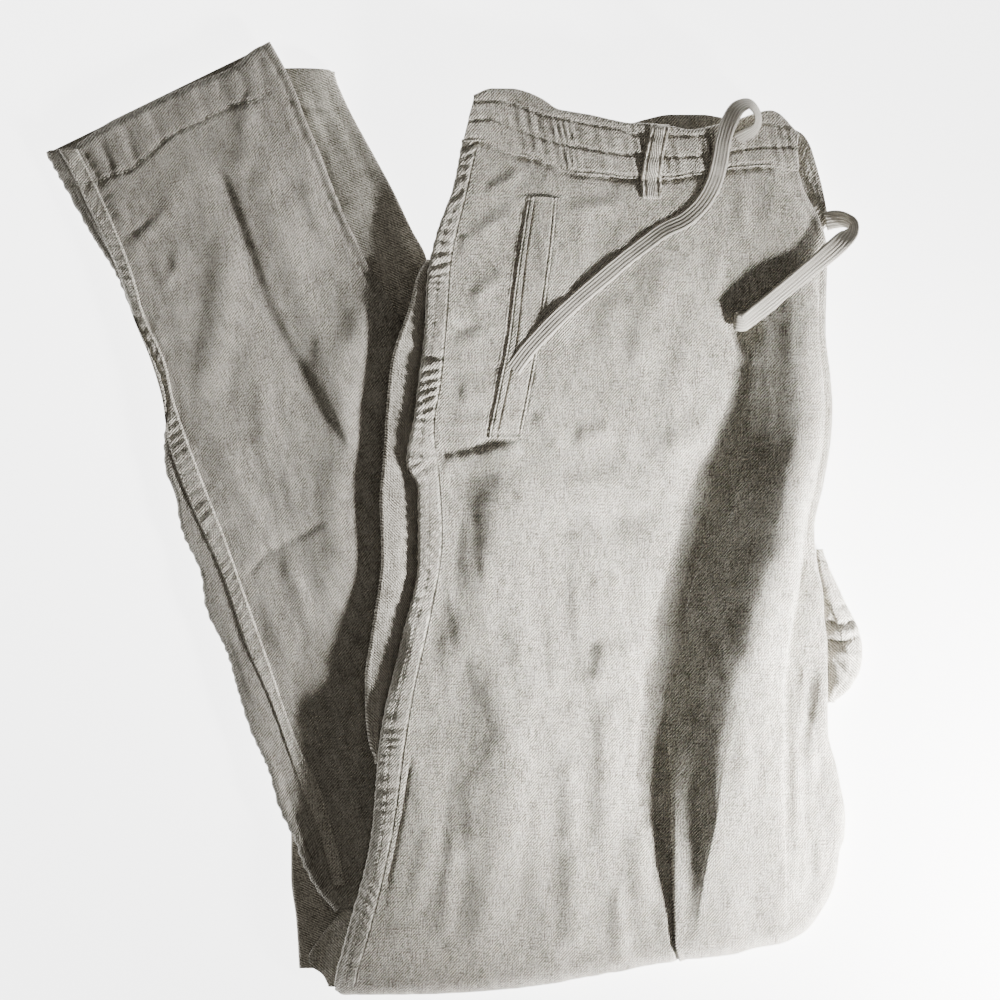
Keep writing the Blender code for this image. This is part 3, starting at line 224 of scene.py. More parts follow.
# The seat's crotch end, which bulges out past the fold. Columns: y, x of its root, x of its edge.
SEAT = (
    (-21, 220.9, 224.9), (-32, 221.9, 229), (-44, 224.6, 234.5), (-56, 225.4, 240), (-69, 226.4, 246.5),
    (-81, 227.7, 249), (-93, 227.7, 247.5), (-102, 227.7, 242), (-112, 227.7, 232),
)

# Creases of the thigh's front, drawn one by one. Columns: kind, half width, height, the line's x and y.
# soft is a rounded ridge or trough, and crease has a sharp middle. step is higher on the left of the line's
# direction than on its right. brow rises steeply from the right up to its line and falls gently to the left.
FRONT_CREASES = (
    ("step", 2.0, 2.8, (40, 46.5, 27, 44.5, 14, 41, 2, 38.5, -11, 36)),
    ("soft", 4, 1.0, (-6, 46, 8, 49, 20, 52)),
    ("crease", 1.4, -0.8, (-6, 81, -2, 86.5, 4, 89, 15, 89.5, 30, 90.5)),
    ("soft", 7, 1.2, (0, 75, 12, 74, 23, 76)),
    ("soft", 5, 1.8, (15, 168, 19, 177, 25, 182, 42, 184)),
    ("soft", 4.5, 1.5, (17, 198, 27, 202, 36, 208, 42, 213)),
    ("soft", 5, 1.2, (38, 203, 39, 195, 39, 187)),
    ("soft", 4, 1.3, (5, 173, 6, 165, 6, 156)),
    ("soft", 5, 1.7, (8, 131, 21, 141, 33, 150)),
    ("soft", 4.5, -1.4, (-3, 116, 8, 117, 15, 118)),
    ("soft", 5, 1.1, (-2, 106, 8, 107, 16, 110)),
    ("soft", 4, 1.2, (16, 113, 31, 117)),
    ("soft", 3.5, 1.1, (-3, 57, 8, 58, 21, 58)),
    ("soft", 3, 1.0, (-13, 46, -3, 46)),
    ("soft", 3, 0.9, (7, 47.5, 17, 47.5)),
    ("soft", 5, 1.8, (46, 63, 56, 56, 61, 47, 57, 37)),
    ("soft", 7, 2.3, (72, 51, 84, 50, 97, 55)),
    ("soft", 8, 2.0, (97, 136, 93, 115, 91, 93)),
    ("soft", 11, 3.0, (132, 164, 124, 141, 118, 118, 112, 96, 109, 84)),
    ("soft", 7, 1.5, (136, 114, 137, 92, 134, 70)),
    ("soft", 4, 1.1, (160, 166, 159, 148, 158, 132)),
    ("soft", 10, 3.0, (158, 61, 143, 51, 132, 41, 120, 33)),
    ("crease", 1.2, -0.7, (52, 92, 62, 86, 76, 80)),
    ("soft", 4, 1.6, (58, 186, 75, 187, 87, 190, 106, 191)),
    ("soft", 8, 1.4, (75, 188, 74, 170, 72, 150)),
    ("soft", 6, 1.0, (104, 180, 100, 166, 98, 156)),
    ("soft", 5, 0.9, (64, 128, 62, 108, 60, 92)),
    ("soft", 6, 1.0, (147, 112, 148, 92, 146, 76)),
    ("soft", 5, 0.9, (176, 204, 174, 186, 170, 168)),
    ("soft", 6, 1.0, (194, 206, 193, 190, 190, 176)),
    ("soft", 5, 0.8, (206, 200, 209, 186, 212, 172)),
    ("soft", 4, -0.5, (160, 95, 150, 94, 142, 96)),
    ("soft", 9, -3.6, (186, 122, 174, 118, 162, 112)),
    ("brow", 21, 3.6, (33, 46, 27, 22, 24, 0, 22, -18, 16, -36, 12, -60, 2, -84, -8, -106)),
    ("brow", 21, 3.0, (36, 52, 28, 24, 24, 4, 22, -14, 18, -34, 15, -62)),
    ("brow", 21, 3.7, (24, -76, 21, -100, 20, -124, 18, -150, 14, -182, 8, -216)),
    ("step", 2.6, 0.8, (18, -90, 20, -112, 21.5, -130, 20, -154)),
    ("soft", 12, 2.8, (35, -100, 34, -150, 29, -190, 21, -225, 16, -255, 13, -278)),
    ("step", 0.9, 1.1, (53, -4, 53, -40, 56, -80, 58, -114)),
    ("soft", 10, -2.4, (52, -4, 75, -2, 100, -1, 130, 2)),
    ("soft", 18, 2.4, (66, -50, 84, -49, 104, -47)),
    ("soft", 8, 2.6, (92, -74, 90, -90, 87, -106)),
    ("soft", 5, 1.5, (105, -76, 103, -98)),
    ("soft", 5, 1.2, (118, -66, 119, -90)),
    ("soft", 7, 1.2, (41, -62, 40, -94)),
    ("soft", 7, 1.3, (50, -88, 49, -120)),
    ("soft", 6, 1.6, (68, -142, 69, -175, 71, -204)),
    ("soft", 8, 2.6, (71, -198, 72, -222, 72, -245, 72, -272)),
    ("step", 2.6, 0.5, (87, -103, 85.5, -135, 86, -165, 87, -204)),
    ("soft", 8, 1.5, (92, -108, 91, -150, 92, -204)),
    ("soft", 8, 2.0, (113, -180, 113, -210, 115, -240)),
    ("crease", 1.3, -1.2, (-26, -136, -34, -186, -45, -238)),
    ("soft", 5, 1.1, (-14, -180, -20, -210, -28, -244)),
    ("soft", 5, 1.2, (0, -190, -5, -222, -10, -262)),
    ("soft", 5, 1.0, (50, -160, 48, -200, 46, -244)),
    ("soft", 4, 0.9, (98, -224, 99, -250, 101, -270)),
    ("soft", 6, 1.4, (66, 22, 84, 23, 104, 20)),
    ("soft", 5, 0.9, (38, 30, 41, 12, 46, -4)),
    ("step", 1.6, 3.2, (214, -18, 208, -50, 201, -76, 198.5, -100, 198, -146)),
    ("soft", 7, 1.8, (223, -36, 214, -64, 208, -92)),
    ("soft", 4, 2.6, (206, -92, 207, -150, 207, -200, 205, -244)),
    ("soft", 2.4, 1.5, (203, -178, 202, -200, 201, -236)),
    ("soft", 2.4, 1.4, (213, -84, 211, -108, 210, -132)),
    ("soft", 2.2, 1.2, (217, -150, 216, -180, 217, -204)),
    ("soft", 6, 3.2, (227, -90, 221, -122, 218, -140, 214, -160)),
    ("crease", 1.4, -1.6, (223, -118, 227, -138, 231.5, -156)),
    ("crease", 1.3, -1.2, (218, -122, 221, -142, 223, -164)),
    ("soft", 2.6, 1.6, (213, -192, 212, -230)),
    ("soft", 2.6, 1.4, (221, -186, 221, -226)),
    ("soft", 4, 1.3, (168, -222, 168, -260)),
    ("soft", 3.5, 1.0, (175, -122, 175, -170)),
    ("soft", 5, 0.9, (189, -150, 188, -190, 187, -225)),
    ("soft", 4, 0.8, (231, -170, 231, -205)),
)

# Creases of the left lower leg, drawn one by one, in the same columns.
LEG_CREASES = (
    ("soft", 17, 5.8, (-54, 150, -60, 126, -64, 90, -68, 50, -72, 10, -72, -30, -74, -70)),
    ("soft", 17, -7.0, (-74, -100, -92, -120, -92, -150, -88, -180, -84, -236)),
    ("soft", 9, -2.0, (-48, -80, -54, -130, -60, -190, -70, -240)),
    ("step", 2.2, 3.0, (
        -150, 226, -141, 210, -135, 192, -128, 172, -120, 150, -112, 126, -101, 104, -90, 88, -80, 70,
        -70, 50, -61, 30,
    )),
    ("soft", 10, 2.8, (-119, 242, -118, 206, -112, 180, -104, 158, -95, 134, -84, 108, -74, 86, -62, 60)),
    ("soft", 7, -1.4, (-142, 218, -138, 190, -130, 165, -121, 138)),
    ("soft", 6, 1.8, (-128, 260, -129, 232, -131, 208)),
    ("soft", 5, 1.3, (-174, 218, -174, 190, -186, 178, -196, 168, -199, 152)),
    ("crease", 1.2, -0.8, (-186, 184, -201, 172)),
    ("soft", 3.5, 1.1, (-173, 166, -171, 154, -182, 137)),
    ("soft", 10, 2.6, (-143, 174, -144, 140, -145, 116, -151, 96, -156, 68)),
    ("soft", 7, 1.5, (-131, 104, -121, 70, -115, 40)),
    ("crease", 1.5, -1.2, (-67, 147, -56, 150, -47, 141)),
    ("crease", 1.4, -1.1, (-55, 143, -61, 130)),
    ("soft", 6, 1.0, (-60, 130, -58, 118, -60, 106)),
    ("soft", 4, 1.1, (-96, 214, -89, 190, -78, 160)),
    ("soft", 4, 0.9, (-106, 206, -98, 180, -88, 152)),
    ("crease", 1.5, -1.3, (-123, 0, -116, -21, -131, -39)),
    ("crease", 1.4, -1.1, (-117, -22, -98, -12, -78, -1)),
    ("soft", 5, 1.6, (-105, -20, -98, -44, -91, -70)),
    ("soft", 5, 1.1, (-128, 14, -122, -4, -110, -20)),
    ("soft", 6, 1.0, (-146, 50, -138, 24, -128, 2)),
    ("soft", 6, 1.1, (-104, 30, -98, 12, -90, -4)),
    ("soft", 5, 1.1, (-118, -50, -110, -70, -104, -92)),
    ("crease", 1.9, -1.6, (-232, 229, -225, 217, -218, 204)),
    ("soft", 2.6, -1.3, (-221, 233, -215, 222, -209, 210)),
    ("soft", 3, -1.5, (-205, 241, -200, 228, -195, 217)),
    ("soft", 2.6, -1.3, (-190, 249, -184, 238, -179, 229)),
    ("soft", 2.4, -1.0, (-177, 256, -172, 246, -168, 238)),
    ("soft", 3, -1.5, (-161, 265, -156, 254, -151, 244)),
    ("soft", 2.4, -1.0, (-148, 270, -144, 260, -141, 252)),
    ("soft", 3, -1.4, (-136, 278, -131, 266, -127, 256)),
    ("soft", 2.4, -1.0, (-123, 284, -120, 274, -117, 264)),
    ("soft", 4, 1.1, (-212, 200, -206, 186, -204, 172)),
)

# Creases of the right lower leg, the knee's turn and the seat, in the same columns.
RIGHT_LEG_CREASES = (
    ("soft", 3, -1.2, (-92, 262, -82, 240, -74, 222)),
    ("soft", 3, 0.9, (-86, 268, -78, 250, -68, 230)),
    ("soft", 4, -1.1, (-70, 244, -62, 226, -52, 206)),
    ("crease", 2, -1.0, (-40, 166, -30, 172, -24, 170)),
    ("soft", 5, -1.0, (-52, 190, -42, 172, -34, 160)),
)
KNEE_TURN_CREASES = (("crease", 1.6, -1.2, (-73, -246, -80, -262, -84, -280)),)
SEAT_CREASES = (
    ("crease", 1.6, -2.0, (226, -62, 234, -66, 243, -64)),
    ("crease", 1.6, -2.0, (226, -74, 234, -77, 245, -72)),
    ("crease", 1.6, -1.8, (226, -80, 236, -92, 244, -104)),
    ("crease", 1.5, -1.2, (225, -50, 232, -54, 239, -56)),
    ("soft", 2.6, 1.2, (228, -68, 236, -71, 246, -68)),
    ("soft", 3.0, 1.2, (228, -82, 238, -84, 247, -86)),
    ("soft", 3.0, 1.0, (228, -92, 234, -98, 240, -106)),
)

# The side seam's outer row of stitching, and both edges of the left outseam. Columns: y, x.
SIDE_ROW = (
    (231, 5.5), (200, 3), (170, -8.2), (133, -12.5), (81, -17.7), (39, -21.9), (17, -17), (-26, -17),
    (-74, -27), (-127, -39), (-203, -47), (-252, -60), (-290, -70),
)
LEFT_SEAM_INNER = (
    (226, -232.7), (206, -222.3), (189, -214.4), (166, -204.7), (147, -198), (123, -191.2),
    (96, -179), (72, -173.5), (44, -163.8), (18, -154), (-13, -141.8), (-44, -130.8),
    (-87, -115.6), (-141, -96.7), (-162, -85.7), (-194, -75.3), (-226, -68),
)
LEFT_SEAM_OUTER = (
    (226, -244), (206, -233), (189, -225), (166, -214), (147, -206), (123, -198), (96, -187),
    (72, -180), (44, -176), (9, -163.2), (-34, -143.7), (-77, -129), (-113, -113.8), (-162, -96.7),
    (-194, -84), (-226, -75),
)
LEFT_HEM_ROW = (
    (-236, 204), (-220, 205), (-214, 209), (-200, 213), (-187, 224), (-173.5, 235.8), (-156, 243.7),
    (-138, 252.5), (-123, 255.6), (-113, 263.5),
)
# The waistband's two rows of stitching. Columns: x, y.
BAND_ROW_UPPER = (
    (10, 252.8), (25, 253.5), (39, 249.8), (54, 244.3), (67.5, 241.9), (81.5, 238.8), (100, 235.8),
    (109, 232.7), (127, 232.1), (160, 232.1), (176, 236), (188, 240), (198, 238),
)
BAND_ROW_LOWER = (
    (8, 241.3), (20, 242.5), (29.6, 239.4), (39, 235.8), (49.7, 231.5), (67.5, 226.6), (81.5, 224.2),
    (100, 221.1), (109, 220.5), (124, 219.3), (158, 221), (176, 224.5), (190, 226),
)

# Colours of the cloth, the cord and the thread.
UNDYED = (0.860, 0.825, 0.745)
UNDYED_DARK = (0.120, 0.106, 0.082)
CORD_LIGHT = (0.700, 0.672, 0.612)
CORD_DARK = (0.200, 0.182, 0.150)
THREAD = (0.600, 0.575, 0.515)


class Profile:
    """A smooth curve through a table's points that never overshoots them."""

    def __init__(self, keys, values):
        order = np.argsort(keys)
        self.keys = np.asarray(keys, float)[order]
        self.values = np.asarray(values, float)[order]
        steps = np.diff(self.values) / np.diff(self.keys)
        self.slopes = np.concatenate([steps[:1], 0.5 * (steps[1:] + steps[:-1]), steps[-1:]])
        self.slopes[1:-1][steps[1:] * steps[:-1] <= 0] = 0.0
        limit = 3.0 * np.minimum(np.abs(steps[1:]), np.abs(steps[:-1]))
        self.slopes[1:-1] = np.clip(self.slopes[1:-1], -limit, limit)

    def __call__(self, at):
        at = np.clip(np.asarray(at, float), self.keys[0], self.keys[-1])
        left = np.clip(np.searchsorted(self.keys, at, side="right") - 1, 0, len(self.keys) - 2)
        span = self.keys[left + 1] - self.keys[left]
        t = (at - self.keys[left]) / span
        start_slope, end_slope = self.slopes[left] * span, self.slopes[left + 1] * span
        return hermite(self.values[left], self.values[left + 1], start_slope, end_slope, t)


def hermite(start, end, start_slope, end_slope, t):
    square = t * t
    cube = square * t
    return (
        (2 * cube - 3 * square + 1) * start
        + (cube - 2 * square + t) * start_slope
        + (3 * square - 2 * cube) * end
        + (cube - square) * end_slope
    )


def ease(t):
    t = np.clip(t, 0.0, 1.0)
    return t * t * (3.0 - 2.0 * t)


def ramp(value, start, end):
    """0 before start and 1 after end, with a smooth rise between them."""
    return ease((value - start) / (end - start))


def column(table, index):
    return [row[index] for row in table]


def profile(table, key, value):
    return Profile(column(table, key), column(table, value))


def between_guides(values, across):
    """Smooth values between guide lines: across 1.5 is halfway between the second and the third."""
    values = np.asarray(values)
    steps = np.diff(values, axis=0)
    slopes = np.zeros_like(values)
    slopes[0] = steps[0]
    slopes[-1] = steps[-1]
    if len(values) > 2:
        middle = 0.5 * (steps[1:] + steps[:-1])
        limit = 3.0 * np.minimum(np.abs(steps[1:]), np.abs(steps[:-1]))
        middle = np.clip(middle, -limit, limit)
        slopes[1:-1] = np.where(steps[1:] * steps[:-1] <= 0, 0.0, middle)
    left = np.minimum(np.asarray(across).astype(int), len(values) - 2)
    places = np.arange(len(across))
    t = np.asarray(across) - left
    return hermite(
        values[left, :, places].T,
        values[left + 1, :, places].T,
        slopes[left, :, places].T,
        slopes[left + 1, :, places].T,
        t[None],
    )


class Lay:
    """A stretch of cloth laid between guide lines that run down it from its head to its foot."""

    def __init__(self, guides, head, foot):
        self.guide_x = [profile(guide, 0, 1) for guide in guides]
        self.guide_z = [profile(guide, 0, 2) for guide in guides]
        self.head = head
        self.foot = foot

    def points(self, across, down):
        """Points of the upper face: a row for each place down, a column for each place across."""
        across = np.asarray(across, float)
        down = np.asarray(down, float)[:, None]
        y = (self.head(0.0) * (1 - down) + self.foot(0.0) * down) * np.ones((len(down), len(across)))
        for _ in range(SETTLING_STEPS):
            x = between_guides([guide(y) for guide in self.guide_x], across)
            y = 0.5 * y + 0.5 * (self.head(x) * (1 - down) + self.foot(x) * down)
        z = between_guides([guide(y) for guide in self.guide_z], across)
        return np.stack([x, y, z], axis=2)


def level(y):
    """A Lay's head or foot that runs straight across."""
    return lambda x: y + 0.0 * np.asarray(x)


def stations(counts):
    """Places across a Lay: counts[i] equal steps from guide i to guide i + 1."""
    places = [0.0]
    for index, count in enumerate(counts):
        places += [index + (step + 1) / count for step in range(count)]
    return places


def moved_guide(guide, shift):
    return tuple((y, x + shift, z) for y, x, z in guide)


def with_height(guide, height):
    return tuple((y, x, height) for y, x in guide)


def drawn(table, value=1, shift=0.0, down=True):
    """A line's x and y from a table whose first column is y, or x where down is False."""
    line = np.array([(row[value] + shift, row[0]) for row in table], float)
    return line if down else line[:, ::-1]


def line_length(line):
    return np.linalg.norm(np.diff(line, axis=0), axis=1).sum()


def bell(distance, half_width):
    """1 on a line, dying away from it on both sides."""
    return np.exp(-((distance / half_width) ** 2))


def furrow(distance, half_width, depth):
    return -depth * bell(distance, half_width)


def unit(vectors):
    return vectors / np.maximum(np.linalg.norm(vectors, axis=-1, keepdims=True), 1e-9)


def left_of(line):
    """Level directions to the left of a line, at each of its points."""
    tangent = np.gradient(line[:, :2], axis=0)
    return unit(np.stack([-tangent[:, 1], tangent[:, 0]], axis=1))


def measured(line):
    """How far along a line each of its points lies."""
    steps = np.linalg.norm(np.diff(line, axis=0), axis=1)
    return np.concatenate([[0.0], np.cumsum(steps)])


def turned(x, y, angle):
    """The same places along axes that are turned by an angle."""
    return x * math.cos(angle) + y * math.sin(angle), y * math.cos(angle) - x * math.sin(angle)


# Noise and relief.


NOISE_CELLS = 97


def smooth_noise(u, v, seed):
    """Smooth noise from -1 to 1 with about one wave to a unit."""
    table = np.random.RandomState(seed).uniform(-1, 1, (NOISE_CELLS, NOISE_CELLS))
    left = np.floor(u).astype(int)
    low = np.floor(v).astype(int)
    across = ease(u - left)
    up = ease(v - low)
    sides = []
    for step in (0, 1):
        row = (low + step) % NOISE_CELLS
        first = table[left % NOISE_CELLS, row]
        second = table[(left + 1) % NOISE_CELLS, row]
        sides.append(first * (1 - across) + second * across)
    return sides[0] * (1 - up) + sides[1] * up


# The creases that linen keeps. Columns: size across the warp, size along it, height, whether they are sharp.
CRINKLES = (
    (19, 62, 0.42, False),
    (11, 44, 0.26, True),
    (6.5, 21, 0.16, False),
    (4.5, 13, 0.10, True),
    (24, 9, 0.14, False),
    (2.9, 4.4, 0.05, False),
)
CRINKLE_SWAY = 6.0


def crinkle(u, v, seed, amount=1.0):
    """The creases that linen keeps: long along the warp (v), short across it (u)."""
    u = u + CRINKLE_SWAY * smooth_noise(u / 40, v / 70, seed + 9)
    relief = np.zeros(np.shape(u))
    for index, (across, along, height, sharp) in enumerate(CRINKLES):
        wave = smooth_noise(u / across, v / along, seed + index)
        relief += height * (0.5 - np.abs(wave) if sharp else wave)
    return amount * relief


def line_places(line, x, y):
    """For each x and y: distance to a line, side (over 0 on the left of its direction) and share along."""
    line = np.asarray(line, float).reshape(-1, 2)
    lengths = np.linalg.norm(np.diff(line, axis=0), axis=1)
    reach = measured(line)
    best = np.full(x.shape, np.inf)
    side = np.zeros(x.shape)
    share = np.zeros(x.shape)
    for index, length in enumerate(lengths):
        start_x, start_y = line[index]
        along_x, along_y = (line[index + 1] - line[index]) / length
        along = (x - start_x) * along_x + (y - start_y) * along_y
        held = np.clip(along, 0, length)
        distance = np.hypot(x - (start_x + held * along_x), y - (start_y + held * along_y))
        across = (y - start_y) * along_x - (x - start_x) * along_y
        closer = distance < best
        best = np.where(closer, distance, best)
        side = np.where(closer, across, side)
        share = np.where(closer, (reach[index] + held) / reach[-1], share)
    return best, np.sign(side) * best, share


CREASE_REACH = 4
CREASE_FADE = 0.22
BROW_STRAIGHT = 0.65
BROW_FALL = 2.0
STEP_REACH = 7
STEP_REACH_GROWTH = 3


def crease_shape(kind, half_width, distance, side, share):
    """A crease's height, as a share of its full height."""
    fade = ease(share / CREASE_FADE) * ease((1 - share) / CREASE_FADE)
    if kind == "soft":
        return bell(distance, half_width) * fade
    if kind == "crease":
        return np.exp(-distance / half_width) * fade
    if kind == "brow":
        rise = np.clip(1 + side / half_width, 0, 1)
        flank = BROW_STRAIGHT * rise + (1 - BROW_STRAIGHT) * ease(rise)
        shape = np.where(side < 0, flank, bell(side, BROW_FALL * half_width))
        return shape * fade * (distance < CREASE_REACH * half_width)
    step = 0.5 * np.tanh(side / half_width) * bell(distance, STEP_REACH + STEP_REACH_GROWTH * half_width)
    return step * np.minimum(1, 3 * fade)


def creases(table, x, y):
    """Relief of a table of creases at x and y."""
    relief = np.zeros(x.shape)
    for kind, half_width, height, line in table:
        spots = np.asarray(line, float).reshape(-1, 2)
        reach = CREASE_REACH * half_width + 1
        low = spots.min(axis=0) - reach
        high = spots.max(axis=0) + reach
        near = (x > low[0]) & (x < high[0]) & (y > low[1]) & (y < high[1])
        if near.any():
            places = line_places(line, x[near], y[near])
            relief[near] += height * crease_shape(kind, half_width, *places)
    return relief


def puckers(line, x, y, period, reach, height, seed, side=0):
    """Small ripples across a line of stitching. side 1 keeps those on its left, and -1 those on its right."""
    distance, aside, share = line_places(line, x, y)
    along = share * line_length(line)
    wobble = 1.3 * smooth_noise(along / (3.1 * period), 0.4 * aside / period, seed)
    wave = np.sin(2 * math.pi * (along / period + wobble))
    strength = 0.55 + 0.45 * smooth_noise(along / (2.3 * period), along * 0 + 5.5, seed + 1)
    shape = bell(distance, reach)
    if side:
        shape = shape * (aside * side > 0)
    return height * wave * strength * shape


def groove(line, x, y, half_width, depth):
    """The furrow that a row of stitching pulls into the cloth."""
    return furrow(line_places(line, x, y)[0], half_width, depth)


# Meshes.


def grid_uv(points, turn=0.0):
    """UVs for a piece that lies nearly flat: its plan, turned by an angle, plus its height."""
    across, along = turned(points[:, :, 0], points[:, :, 1], turn)
    return np.stack([across + points[:, :, 2], along + points[:, :, 2]], axis=2) * MM


def grid_faces(rows, columns):
    index = np.arange(rows * columns).reshape(rows, columns)
    corners = [index[:-1, :-1], index[1:, :-1], index[1:, 1:], index[:-1, 1:]]
    return np.stack(corners, axis=-1).reshape(-1, 4)


def mesh_object(name, points, uv, faces, material):
    """An object from points in millimetres, a UV for each point and faces of four points."""
    mesh = bpy.data.meshes.new(name)
    mesh.vertices.add(len(points))
    mesh.vertices.foreach_set("co", (np.asarray(points, float) * MM).ravel())
    mesh.loops.add(faces.size)
    mesh.loops.foreach_set("vertex_index", faces.ravel().astype(np.int32))
    mesh.polygons.add(len(faces))
    mesh.polygons.foreach_set("loop_start", np.arange(0, faces.size, 4, dtype=np.int32))
    mesh.update(calc_edges=True)
    layer = mesh.uv_layers.new(name="cloth")
    layer.data.foreach_set("uv", np.asarray(uv, float)[faces.ravel()].ravel())
    mesh.validate()
    mesh.shade_smooth()
    mesh.materials.append(material)
    obj = bpy.data.objects.new(name, mesh)
    bpy.context.scene.collection.objects.link(obj)
    return obj


def grid_object(name, points, material, uv=None, thickness=0.0):
    rows, columns = points.shape[:2]
    uv = grid_uv(points) if uv is None else uv
    obj = mesh_object(name, points.reshape(-1, 3), uv.reshape(-1, 2), grid_faces(rows, columns), material)
    if thickness:
        wall = obj.modifiers.new("wall", "SOLIDIFY")
        wall.thickness = thickness * MM
        wall.offset = -1.0
    return obj


def surface_of(points, faces):
    return BVHTree.FromPolygons((np.asarray(points) * MM).tolist(), faces.tolist())


def grid_surface(points):
    return surface_of(points.reshape(-1, 3), grid_faces(*points.shape[:2]))


def heights_on(trees, x, y):
    """The highest surface at each x and y, in millimetres. A miss takes the last hit's height."""
    found = np.empty(x.size)
    last = 0.0
    down = Vector((0, 0, -1))
    for index, (at_x, at_y) in enumerate(zip(x.ravel(), y.ravel())):
        best = None
        for tree in trees:
            hit = tree.ray_cast(Vector((at_x * MM, at_y * MM, 1.0)), down)[0]
            if hit is not None and (best is None or hit.z > best):
                best = hit.z
        last = last if best is None else best / MM
        found[index] = last
    return found.reshape(x.shape)


def smoothed(values, rounds):
    """Evens out the rows of a grid of heights along its length."""
    for _ in range(rounds):
        padded = np.concatenate([values[:1], values, values[-1:]])
        values = 0.25 * padded[:-2] + 0.5 * padded[1:-1] + 0.25 * padded[2:]
    return values


# Materials.


class Nodes:
    """A short way to write a material's nodes."""

    def __init__(self, name):
        self.material = bpy.data.materials.new(name)
        self.material.use_nodes = True
        self.tree = self.material.node_tree
        self.shader = self.tree.nodes["Principled BSDF"]

    def link(self, source, socket):
        if isinstance(source, (int, float)):
            socket.default_value = source
        else:
            self.tree.links.new(source, socket)

    def math(self, operation, a, b=0.0, c=0.0, clamp=False):
        node = self.tree.nodes.new("ShaderNodeMath")
        node.operation = operation
        node.use_clamp = clamp
        for socket, value in zip(node.inputs, (a, b, c)):
            self.link(value, socket)
        return node.outputs[0]

    def position(self):
        """u and v of the cloth."""
        node = self.tree.nodes.new("ShaderNodeUVMap")
        node.uv_map = "cloth"
        split = self.tree.nodes.new("ShaderNodeSeparateXYZ")
        self.tree.links.new(node.outputs[0], split.inputs[0])
        return split.outputs[0], split.outputs[1]

    def noise(self, u, v, u_size, v_size, detail, offset):
        """Noise from 0 to 1 whose grains are u_size by v_size."""
        join = self.tree.nodes.new("ShaderNodeCombineXYZ")
        self.link(self.math("MULTIPLY", u, 1.0 / u_size), join.inputs[0])
        self.link(self.math("MULTIPLY", v, 1.0 / v_size), join.inputs[1])
        join.inputs[2].default_value = offset
        node = self.tree.nodes.new("ShaderNodeTexNoise")
        node.inputs["Scale"].default_value = 1.0
        node.inputs["Detail"].default_value = detail
        self.tree.links.new(join.outputs[0], node.inputs["Vector"])
        return node.outputs["Fac"]

    def mix(self, share, first, second):
        node = self.tree.nodes.new("ShaderNodeMix")
        node.data_type = "RGBA"
        self.link(share, node.inputs["Factor"])
        for socket, value in ((node.inputs[6], first), (node.inputs[7], second)):
            if isinstance(value, tuple):
                socket.default_value = (*value, 1.0)
            else:
                self.tree.links.new(value, socket)
        return node.outputs[2]

    def uneven(self, u, v, rows, share, height):
        """Adds rows of noise to a colour share, which comes back between 0 and 1, and to a relief."""
        for u_size, v_size, detail, offset, in_color, in_relief in rows:
            speckle = self.math("SUBTRACT", self.noise(u, v, u_size, v_size, detail, offset), 0.5)
            share = self.math("MULTIPLY_ADD", speckle, in_color, share)
            if in_relief:
                height = self.math("MULTIPLY_ADD", speckle, in_relief, height)
        return self.math("ADD", share, clamp=True), height

    def color(self, color):
        self.tree.links.new(color, self.shader.inputs["Base Color"])

    def bump(self, height, distance):
        node = self.tree.nodes.new("ShaderNodeBump")
        node.inputs["Strength"].default_value = 1.0
        node.inputs["Distance"].default_value = distance
        self.tree.links.new(height, node.inputs["Height"])
        self.tree.links.new(node.outputs[0], self.shader.inputs["Normal"])

    def finish(self, roughness, sheen):
        self.shader.inputs["Roughness"].default_value = roughness
        self.shader.inputs["Specular IOR Level"].default_value = 0.15
        self.shader.inputs["Sheen Weight"].default_value = sheen
        self.shader.inputs["Sheen Roughness"].default_value = 0.5
        return self.material


# What makes linen uneven: its threads, and patches of its colour. Columns: size along u and along v, detail,
# offset of the noise, weight in the colour, weight in the relief.
LINEN_THREADS = (
    (0.0007, 0.0085, 1.0, 1.0, 0.85, 0.9),
    (0.0085, 0.0007, 1.0, 2.0, 0.65, 0.7),
    (0.0009, 0.0012, 1.0, 3.0, 1.25, 0.6),
)
LINEN_PATCHES = ((0.0065, 0.018, 2.0, 4.0, 0.60, 0.0), (0.035, 0.060, 2.0, 5.0, 0.35, 0.0))
TWILL_PERIOD = 0.00135
LINEN_DEPTH = 0.00034


def linen(name, lean=42.0, contrast=0.56, tone=1.0, grain=1.0):
    """Natural linen twill: diagonal lines at a lean in degrees, slubs both ways, and uneven colour. tone
    scales the colour; where it is under or over 1 it paints shade or light on a piece.
    """
    nodes = Nodes(name)
    u, v = nodes.position()
    angle = math.radians(lean)
    sway = nodes.math("MULTIPLY", nodes.noise(u, v, 0.007, 0.012, 1.0, 7.0), 2.2)
    across = nodes.math("MULTIPLY", u, math.cos(angle) / TWILL_PERIOD)
    across = nodes.math("MULTIPLY_ADD", v, -math.sin(angle) / TWILL_PERIOD, across)
    twill = nodes.math("SINE", nodes.math("MULTIPLY_ADD", across, 2 * math.pi, sway))
    breaks = nodes.math("MULTIPLY", nodes.noise(u, v, 0.0045, 0.0060, 1.0, 8.0), 2.4 * contrast)
    share = nodes.math("MULTIPLY_ADD", twill, nodes.math("SUBTRACT", breaks, 0.7 * contrast), 0.50)
    height = nodes.math("MULTIPLY_ADD", twill, 0.36, 0.5)
    threads = tuple((*row[:4], row[4] * grain, row[5]) for row in LINEN_THREADS)
    share, height = nodes.uneven(u, v, threads + LINEN_PATCHES, share, height)
    dark, light = [tuple(value * tone for value in color) for color in (UNDYED_DARK, UNDYED)]
    nodes.color(nodes.mix(share, dark, light))
    nodes.bump(height, LINEN_DEPTH * grain)
    return nodes.finish(roughness=0.92, sheen=0.12)


